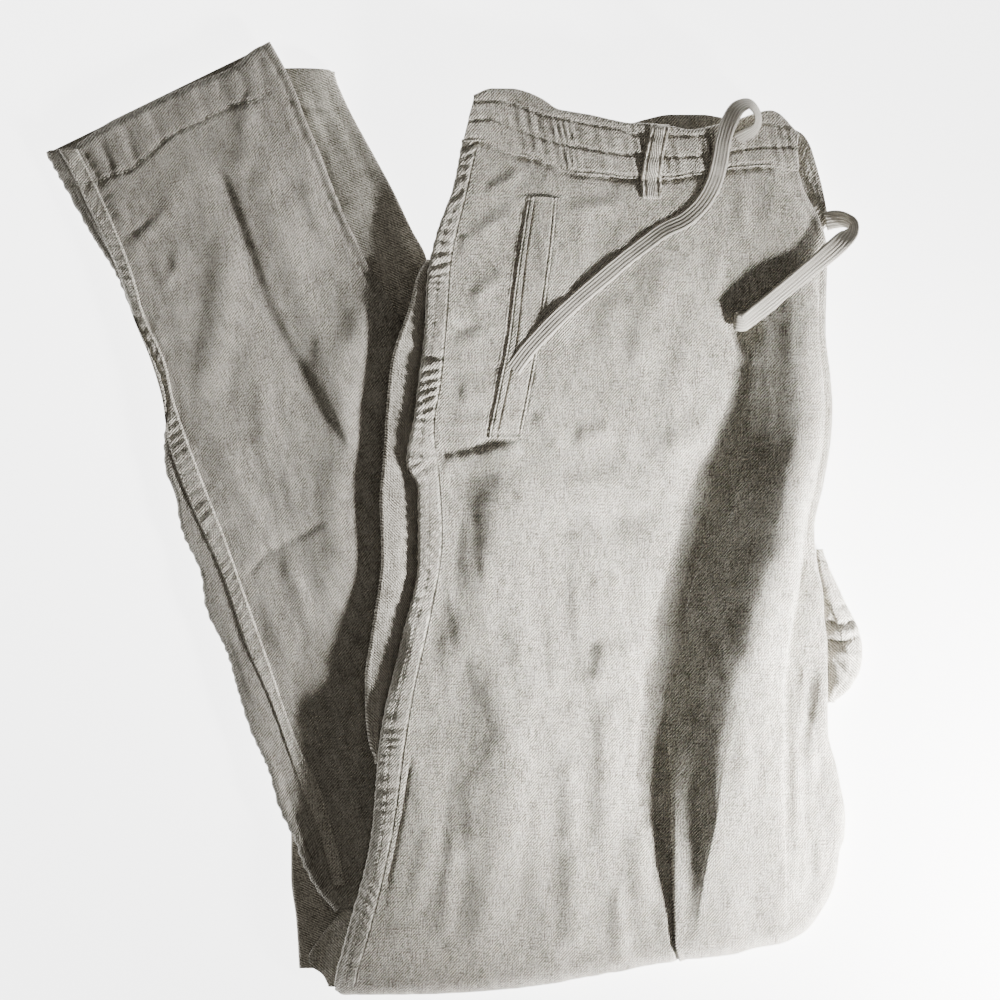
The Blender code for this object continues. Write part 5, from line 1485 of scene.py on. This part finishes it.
def make_pocket(tree, material, dark):
    """The slant pocket: its welt, its binding and, between them, the slit as a dark strip of painted shade,
    all flush with the front.
    """
    y = np.linspace(196, 48.5, 170)
    binding, slit, welt = [profile(POCKET, 0, index)(y) for index in (BINDING, SLIT, WELT)]
    welt_width = (welt - slit)[:, None]
    binding_width = (slit - binding + 4.2)[:, None]
    ends = furrow(np.minimum(np.abs(y - 193.0), np.abs(y - 51.5))[:, None], 0.7, 0.8)

    def welt_relief(x, y, share):
        into = share * (welt_width + 3.6)
        past = into - welt_width
        top = 0.55 * ramp(into, 0, 0.8) * (1 - ramp(past, -0.4, 0.5)) + 0.25 * bell(past - 1.3, 0.7)
        top += furrow(past - 0.2, 0.6, 0.8) + furrow(past + 2.0, 0.55, 0.6) + ends * (past < 0.5)
        return (top + 0.16 * smooth_noise(x / 5, y / 7, 121)) * (1 - ramp(share, 0.9, 1.0))

    def binding_relief(x, y, share):
        into = share * binding_width
        top = 0.85 * ramp(into, 2.6, 3.8) + ends * (into > 2.4)
        top += furrow(into - 2.4, 0.6, 0.9) + furrow(into - 4.6, 0.55, 0.5)
        return (top + 0.2 * smooth_noise(x / 4, y / 6, 122)) * ramp(share, 0, 0.1)

    sides = plan_line(y, slit + 0.45), plan_line(y - 1.0, welt + 3.6)
    welt_piece, _ = strip_on(
        "pocket_welt_cloth", *sides, [tree], flat, material, lift=0.10, relief=welt_relief, cross=46, settle=1
    )
    sides = plan_line(y, binding - 4.4), plan_line(y - 0.5, slit - 0.45)
    binding_piece, _ = strip_on(
        "pocket_binding_cloth", *sides, [tree], flat, material, lift=0.10, relief=binding_relief, cross=26,
        settle=1,
    )
    y = np.linspace(191, 53, 120)
    sides = [traced(POCKET, y, SLIT, shift) for shift in (-0.8, 0.8)]
    # painted shade: the slit is a dark strip laid flush on the front where the opening's shadow falls.
    slit_piece, _ = strip_on("pocket_slit", *sides, [tree], flat, dark, lift=0.12, cross=4, settle=1)
    return welt_piece, binding_piece, slit_piece


def make_belt_loop(trees, material):
    top, foot = 239, 194
    y = np.linspace(top, foot, 64)[:, None]
    left, right, proud = [profile(BELT_LOOP, 0, index)(y) for index in (1, 2, 3)]
    share = np.linspace(0, 1, 44)
    x = left * (1 - share) + right * share
    yy = y + np.zeros_like(x)
    base = smoothed(heights_on(trees, 0.5 * (left + right), y), 10)
    section = 0.9 * ramp(share, 0, 0.1) * ramp(share, 1, 0.9)
    section += furrow(share - 0.2, 0.055, 0.75) + furrow(share - 0.8, 0.055, 0.75)
    z = base + 1.1 + 0.55 * proud + section + 0.14 * smooth_noise(x / 4, yy / 6, 131)
    free = ramp(y, top, top - 3) * ramp(y, foot, foot + 1.5)
    z = z * free + (heights_on(trees, x, yy) + 0.7) * (1 - free)
    return grid_object("belt_loop_right_cloth", np.dstack([x, yy, z]), material, thickness=1.3)


def make_left_loop(tree, material):
    y = np.linspace(LEFT_LOOP[0][0], LEFT_LOOP[-1][0], 14)
    sides = traced(LEFT_LOOP, y), traced(LEFT_LOOP, y, value=2) - [0, 3]
    section = rounded(1.6, 0.15)
    obj, _ = strip_on("belt_loop_left_cloth", *sides, [tree], section, material, lift=0.2, settle=1)
    return obj


def make_seat(material):
    y = np.linspace(-19.5, -113.5, 120)
    root = profile(SEAT, 0, 1)(y) - 0.6
    edge = profile(SEAT, 0, 2)(y)
    room = edge - root
    radius = np.clip(0.42 * room, 1.7, 5.0)
    share = np.linspace(0, 1, 26)
    x = root[:, None] * (1 - share) + (edge - radius)[:, None] * share
    y = y[:, None] * np.ones_like(x)
    crown = Profile((0, 0.33, 0.67, 1), (0.4, 1.4, 1.6, 1.0))(share)
    z = 8.6 + 2.4 * ramp(room, 0, 14)[:, None] * crown
    z += 1.7 * creases(SEAT_CREASES, x, y) + crinkle(x * 1.5, y * 1.5, 141, 1.3)
    points = rolled(np.dstack([x, y, z]), radius, (12, 24, 36, 48, 60, 75, 90), drop_to=0.7, drop_steps=4)
    obj = grid_object("seat_right_cloth", points, material, points[:, :, :2] * MM, thickness=0.8)
    return obj, grid_surface(points)


def make_seat_seam(tree, material):
    line = traced(SEAT_SEAM, np.linspace(-27, -84, 60))

    def relief(x, y, share):
        return ladder(x, y, share, line, seed=145, height=0.45, period=6.5)

    obj, _ = strip_on(
        "seat_seam_cloth", line + [-4.2, 1.2], line + [4.2, -1.2], [tree], rounded(1.0, 0.15), material,
        lift=0.25, relief=relief, settle=1,
    )
    return obj


# The hidden layers.


LAYERS_UNDER_FRONT = 2.5
LAYERS_UNDER_VALLEY = 3.5
LAYERS_LEAST_HEIGHT = 6.0
PLEAT_START = 70.0


def make_layers(front_tree, material):
    """The hidden layers: a copy of their solid, kept below the front's cloth and the valley of its pleat."""
    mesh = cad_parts["folded_layers"].data.copy()
    mesh.name = "folded_layers_cloth"
    mesh.materials.clear()
    mesh.materials.append(material)
    mesh.validate()
    while mesh.uv_layers:
        mesh.uv_layers.remove(mesh.uv_layers[0])
    layer = mesh.uv_layers.new(name="cloth")
    spots = np.empty(len(mesh.vertices) * 3)
    mesh.vertices.foreach_get("co", spots)
    spots = spots.reshape(-1, 3)
    x, y = spots[:, 0] / MM, spots[:, 1] / MM
    roof = np.maximum(heights_on([front_tree], x, y) - LAYERS_UNDER_FRONT, LAYERS_LEAST_HEIGHT)
    under_valley = profile(VALLEY, 0, 2)(y) - LAYERS_UNDER_VALLEY
    roof = np.where(x > PLEAT_START, np.minimum(roof, under_valley), roof)
    spots[:, 2] = np.minimum(spots[:, 2], roof * MM)
    mesh.vertices.foreach_set("co", spots.ravel())
    mesh.update()
    index = np.empty(len(mesh.loops), np.int32)
    mesh.loops.foreach_get("vertex_index", index)
    uv = np.stack([spots[:, 0] - spots[:, 2], spots[:, 1] + spots[:, 2]], axis=1)
    layer.data.foreach_set("uv", uv[index].ravel())
    mesh.shade_smooth()
    obj = bpy.data.objects.new("folded_layers_cloth", mesh)
    bpy.context.scene.collection.objects.link(obj)
    return obj


# Drawstrings.


def smooth_route(route, spacing):
    """Evenly spaced points on a smooth curve through a route's points."""
    route = np.asarray(route, float)
    reach = measured(route[:, :3])
    slopes = np.gradient(route, reach, axis=0)
    places = np.linspace(0, reach[-1], int(round(reach[-1] / spacing)) + 1)
    left = np.clip(np.searchsorted(reach, places, side="right") - 1, 0, len(reach) - 2)
    span = (reach[left + 1] - reach[left])[:, None]
    t = (places - reach[left])[:, None] / span
    return hermite(route[left], route[left + 1], slopes[left] * span, slopes[left + 1] * span, t)


def width_axes(spine, lean):
    """The direction of a flat cord's width at each point: level, but for its lean in degrees."""
    tangent = unit(np.gradient(spine, axis=0))
    side = unit(np.stack([-tangent[:, 1], tangent[:, 0], np.zeros(len(spine))], axis=1))
    for _ in range(4):
        side[1:-1] = side[:-2] + side[1:-1] + side[2:]
        side = unit(side)
    up = np.cross(tangent, side)
    up *= np.where(up[:, 2] < 0, -1, 1)[:, None]
    angle = np.radians(lean)[:, None]
    return np.cos(angle) * side + np.sin(angle) * up


CORD_STEP = 0.9
CORD_CLEARANCE = 0.1
CORD_RIB = 0.13
# Where the right cord comes down on the cloth, as shares of its length.
CORD_LANDING = (0.24, 0.40)


def laid_down(points, trees, thickness):
    """The points of a cord that comes down on the cloth."""
    rest = heights_on(trees, points[:, 0], points[:, 1]) + thickness / 2 + CORD_CLEARANCE
    for _ in range(6):
        rest[1:-1] = np.maximum(rest[1:-1], 0.25 * rest[:-2] + 0.5 * rest[1:-1] + 0.25 * rest[2:])
    lies = ramp(np.linspace(0, 1, len(points)), *CORD_LANDING)
    height = points[:, 2] * (1 - lies) + rest * lies
    return np.column_stack([points[:, :2], height, points[:, 3] * (1 - 0.8 * lies)])


def cord_section(width, thickness):
    """The flat cord's section, with ribs on both of its faces."""
    share = np.linspace(-1, 1, 33)
    body = thickness / 2 * (1 - np.abs(share) ** 6) ** 0.5
    ribs = CORD_RIB * np.cos(share * math.pi * 5.5)
    upper = np.stack([share * width / 2, body + ribs * (1 - share**8)], axis=1)
    return np.concatenate([upper, upper[::-1][1:-1] * [1, -1]])


def ribbon(name, spine, across, material, width, thickness):
    """A flat ribbed cord along its middle line. Returns the object and its route in metres."""
    tangent = unit(np.gradient(spine, axis=0))
    across = unit(across - (across * tangent).sum(axis=1)[:, None] * tangent)
    rise = np.cross(tangent, across)
    section = cord_section(width, thickness)
    wander = smooth_noise(np.arange(len(spine)) / 16.0, np.zeros(len(spine)), 151)
    narrow = 1 + 0.035 * wander
    ring = (
        spine[:, None]
        + across[:, None] * (section[None, :, :1] * narrow[:, None, None])
        + rise[:, None] * section[None, :, 1:]
    )
    ring = np.concatenate([ring, ring[:, :1]], axis=1)
    around = measured(np.concatenate([section, section[:1]]))
    uv = np.stack(np.broadcast_arrays(around[None], measured(spine)[:, None]), axis=2) * MM
    caps = []
    for place in (0, -1):
        middle = ring[place].mean(axis=0)
        caps.append((middle + (ring[place] - middle) * 0.02)[None])
    points = np.concatenate([caps[0], ring, caps[1]])
    uv = np.concatenate([uv[:1], uv, uv[-1:]])
    faces = grid_faces(*points.shape[:2])[:, ::-1]
    obj = mesh_object(name, points.reshape(-1, 3), uv.reshape(-1, 2), faces, material)
    return obj, spine * MM


def make_right_cord(trees, material):
    thickness = 1.6
    points = laid_down(smooth_route(DRAWSTRING_RIGHT, CORD_STEP), trees, thickness)
    spine = points[:, :3]
    across = width_axes(spine, points[:, 3])
    return ribbon("drawstring_right_cord", spine, across, material, width=10.4, thickness=thickness)


def make_left_cord(material):
    points = smooth_route(DRAWSTRING_LEFT, CORD_STEP)
    spine = points[:, :3]
    spine, across = scroll_end(spine, width_axes(spine, points[:, 3]))
    return ribbon("drawstring_left_cord", spine, across, material, width=11.4, thickness=2.0)


SCROLL_AXIS = (0.10, 0.90, 0.43)
SCROLL_TURNS = 1.12
SCROLL_RADIUS = 5.0
SCROLL_TIGHTENING = 2.4
SCROLL_FLATNESS = 0.62
SCROLL_BLEND = 26


def scroll_end(spine, across):
    """Rolls the cord's end into a small scroll whose open side faces up and away from the knee."""
    axis = unit(np.array(SCROLL_AXIS))
    heading = unit(spine[-1] - spine[-4])
    heading = unit(heading - heading @ axis * axis)
    inward = np.cross(heading, axis)
    inward *= -1 if inward[2] > 0 else 1
    turn = np.linspace(0, 2 * math.pi * SCROLL_TURNS, 60)[1:, None]
    radius = SCROLL_RADIUS - SCROLL_TIGHTENING * turn / (2 * math.pi)
    middle = spine[-1] + SCROLL_FLATNESS * radius[0] * inward
    curl = middle + radius * (np.sin(turn) * heading - SCROLL_FLATNESS * np.cos(turn) * inward)
    blend = ramp(np.arange(len(across)) - len(across), -SCROLL_BLEND, 0)[:, None]
    facing = axis if across[-1] @ axis > 0 else -axis
    across = unit(across * (1 - blend) + facing * blend)
    return np.concatenate([spine, curl]), np.concatenate([across, np.repeat(facing[None], len(curl), axis=0)])


# The solids whose cloth is seam, and the cords.
SEAM_SOLIDS = (
    "side_seam_right", "outseam_left", "pocket_welt", "pocket_binding", "belt_loop_right", "belt_loop_left",
    "seat_seam",
)
CORD_SOLIDS = ("drawstring_right", "drawstring_left")


def sew(front_tree, seam_tree, left_seam_tree, left_trees, band_tree):
    """Notes every row of stitches."""
    y = np.linspace(229, -275, 300)
    stitch_row("side_seam", traced(SIDE_ROW, y), [seam_tree])
    stitch_row("side_seam", traced(SEAM_LINE, y, shift=-1.1), [seam_tree])
    y = np.linspace(224, -208, 260)
    stitch_row("left_seam", traced(LEFT_SEAM_OUTER, y, shift=0.8), [left_seam_tree])
    stitch_row("left_seam", traced(LEFT_SEAM_INNER, y, shift=-1.3), [left_seam_tree])
    stitch_row("left_hem", traced_across(LEFT_HEM_ROW, np.linspace(-234, -114, 120)), left_trees)
    x = np.linspace(9, 200, 200)
    for table in (BAND_ROW_UPPER, BAND_ROW_LOWER):
        stitch_row("waistband", traced_across(table, x), [band_tree])
    stitch_row("waistband", traced_across(WAIST_SEAM, np.linspace(7, 206, 200), shift=1.6), [band_tree])
    y = np.linspace(194, 50, 120)
    for edge, shift in ((WELT, 1.1), (WELT, 2.7), (BINDING, -2.0), (BINDING, -3.8)):
        stitch_row("pocket", traced(POCKET, y, edge, shift), [front_tree])


def main():
    cloth = linen("linen_front", contrast=0.70, grain=1.5)
    # Painted shade: the left lower leg's linen is made darker, tone 0.77, because the light is weaker there.
    leg_cloth_painted_shade = linen("linen_leg_painted_shade", lean=52.0, tone=0.77)
    back_cloth = linen("linen_back", lean=132.0)
    seam_cloth = linen("linen_seam", lean=42.0, contrast=0.50, tone=1.02, grain=1.2)
    # Painted shade: a darker copy of the linen, tone 0.85, for the pieces that lie under or behind the
    # others.
    shade_cloth = linen("linen_shade", lean=42.0, tone=0.85)
    # Painted shade: a very dark copy of the linen, tone 0.30, for the pocket's slit.
    painted_slit_shade_cloth = linen("linen_painted_slit_shade", lean=42.0, tone=0.30)
    cord_knit = knit("cord_knit")
    thread = thread_material()

    front, front_tree = make_front(cloth)
    side_seam, side_points = make_side_seam(front_tree, seam_cloth)
    back_roll = make_back_roll(back_cloth)
    left_front, left_front_tree = make_left_front(leg_cloth_painted_shade)
    left_back, left_back_tree = make_left_back(leg_cloth_painted_shade)
    left_seam, left_seam_points = make_left_outseam([left_front_tree, left_back_tree], seam_cloth)
    lower_back, lower_front = make_right_lower(back_cloth, shade_cloth)
    knee = make_knee_turn(back_cloth)
    band, band_tree = make_front_band(cloth)
    back_band = make_back_band(shade_cloth)
    left_band, left_band_tree = make_left_band(cloth)
    welt, binding, slit = make_pocket(front_tree, seam_cloth, painted_slit_shade_cloth)
    # Painted light: the belt loop's linen is lighter, tone 1.12, so that it reads as the lit strap standing
    # out from the band.
    loop_cloth_painted_light = linen("linen_loop_painted_light", lean=10.0, contrast=0.45, tone=1.12, grain=1.1)
    loop = make_belt_loop([front_tree, band_tree], loop_cloth_painted_light)
    left_loop = make_left_loop(left_band_tree, seam_cloth)
    seat, seat_tree = make_seat(back_cloth)
    seat_seam = make_seat_seam(seat_tree, seam_cloth)
    layers = make_layers(front_tree, shade_cloth)

    left_seam_tree = grid_surface(left_seam_points)
    left_trees = [left_front_tree, left_back_tree, left_seam_tree]
    sew(front_tree, grid_surface(side_points), left_seam_tree, left_trees, band_tree)
    thread_pieces = [build_stitches(kind, thread) for kind in STITCHES]
    right_cord, right_path = make_right_cord([front_tree, band_tree], cord_knit)
    left_cord, left_path = make_left_cord(cord_knit)

    pieces = {
        "front_right": front,
        "side_seam_right": side_seam,
        "back_right": back_roll,
        "front_left": left_front,
        "back_left": left_back,
        "outseam_left": left_seam,
        "back_right_lower": lower_back,
        "front_right_lower": lower_front,
        "back_right_knee": knee,
        "waistband_right": band,
        "waistband_back": back_band,
        "waistband_left": left_band,
        "pocket_welt": welt,
        "pocket_binding": binding,
        "belt_loop_right": loop,
        "belt_loop_left": left_loop,
        "seat_right": seat,
        "seat_seam": seat_seam,
        "folded_layers": layers,
        "drawstring_right": right_cord,
        "drawstring_left": left_cord,
    }
    slots = [(obj, "linen_seam") for obj in thread_pieces] + [(slit, "linen")]
    for solid, obj in pieces.items():
        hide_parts(solid)
        slot = "linen_seam" if solid in SEAM_SOLIDS else "knitted_cord" if solid in CORD_SOLIDS else "linen"
        slots.append((obj, slot))
    for obj, slot in slots:
        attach(obj, "root")


# How far the floor reaches on each side, how far it lies below the trousers, in metres, and its glow.
FLOOR_REACH = 30.0
FLOOR_DROP = 0.0006
FLOOR_GLOW = 4.6


def make_stage():
    mesh = bpy.data.meshes.new("floor")
    corners = [(-1, -1), (1, -1), (1, 1), (-1, 1)]
    spots = [(x * FLOOR_REACH, y * FLOOR_REACH, -FLOOR_DROP) for x, y in corners]
    mesh.from_pydata(spots, [], [(0, 1, 2, 3)])
    floor = bpy.data.objects.new("floor", mesh)
    bpy.context.scene.collection.objects.link(floor)
    nodes = Nodes("pale_floor")
    nodes.shader.inputs["Base Color"].default_value = (0.86, 0.86, 0.86, 1.0)
    nodes.shader.inputs["Emission Color"].default_value = (1.0, 1.0, 1.0, 1.0)
    nodes.shader.inputs["Emission Strength"].default_value = FLOOR_GLOW
    nodes.finish(0.9, 0.0)
    mesh.materials.append(nodes.material)


# The camera stands straight above. It shows VIEW_WIDTH of a plane at VIEW_DISTANCE, all in metres.
CAMERA_PLACE = (0.0265, 0.0107, 2.2)
SENSOR_WIDTH = 36.0
VIEW_DISTANCE = 2.18
VIEW_WIDTH = 0.61
# A low key light rakes the cloth from the lower right, and a broad fill hangs above. Places are in metres.
KEY_PLACE = (1.008, -0.63, 0.365)
KEY_AIM = (0.447, -0.2514, 0.0)
FILL_PLACE = (0.6, -0.5, 2.4)
MIDDLE = (0.0, 0.0, 0.0)
WORLD_COLOR = (1.0, 0.93, 0.82, 1.0)
WORLD_STRENGTH = 0.125


def aimed(name, light, place, aim):
    obj = bpy.data.objects.new(name, light)
    obj.location = place
    obj.rotation_euler = (Vector(place) - Vector(aim)).to_track_quat("Z", "Y").to_euler()
    bpy.context.scene.collection.objects.link(obj)


def make_view():
    camera = bpy.data.cameras.new("camera")
    camera.sensor_width = SENSOR_WIDTH
    camera.lens = SENSOR_WIDTH * VIEW_DISTANCE / VIEW_WIDTH
    obj = bpy.data.objects.new("camera", camera)
    obj.location = CAMERA_PLACE
    bpy.context.scene.collection.objects.link(obj)
    bpy.context.scene.camera = obj
    key = bpy.data.lights.new("key", "SPOT")
    key.energy = 615.0
    key.color = (1.0, 0.99, 0.965)
    key.shadow_soft_size = 0.115
    key.spot_size = math.radians(38.0)
    key.spot_blend = 1.0
    aimed("key", key, KEY_PLACE, KEY_AIM)
    fill = bpy.data.lights.new("fill", "AREA")
    fill.shape = "DISK"
    fill.size = 2.2
    fill.energy = 2.2
    fill.color = (1.0, 0.96, 0.90)
    aimed("fill", fill, FILL_PLACE, MIDDLE)
    world = bpy.data.worlds.new("studio")
    world.use_nodes = True
    background = world.node_tree.nodes["Background"]
    background.inputs["Color"].default_value = WORLD_COLOR
    background.inputs["Strength"].default_value = WORLD_STRENGTH
    bpy.context.scene.world = world


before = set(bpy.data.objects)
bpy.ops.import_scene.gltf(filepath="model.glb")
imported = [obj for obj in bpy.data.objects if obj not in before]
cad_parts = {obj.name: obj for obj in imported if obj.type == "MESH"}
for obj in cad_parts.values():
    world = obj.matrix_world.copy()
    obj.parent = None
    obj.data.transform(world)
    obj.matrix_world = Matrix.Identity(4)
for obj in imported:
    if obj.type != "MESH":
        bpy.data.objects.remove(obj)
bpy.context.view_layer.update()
make_stage()
make_view()
main()
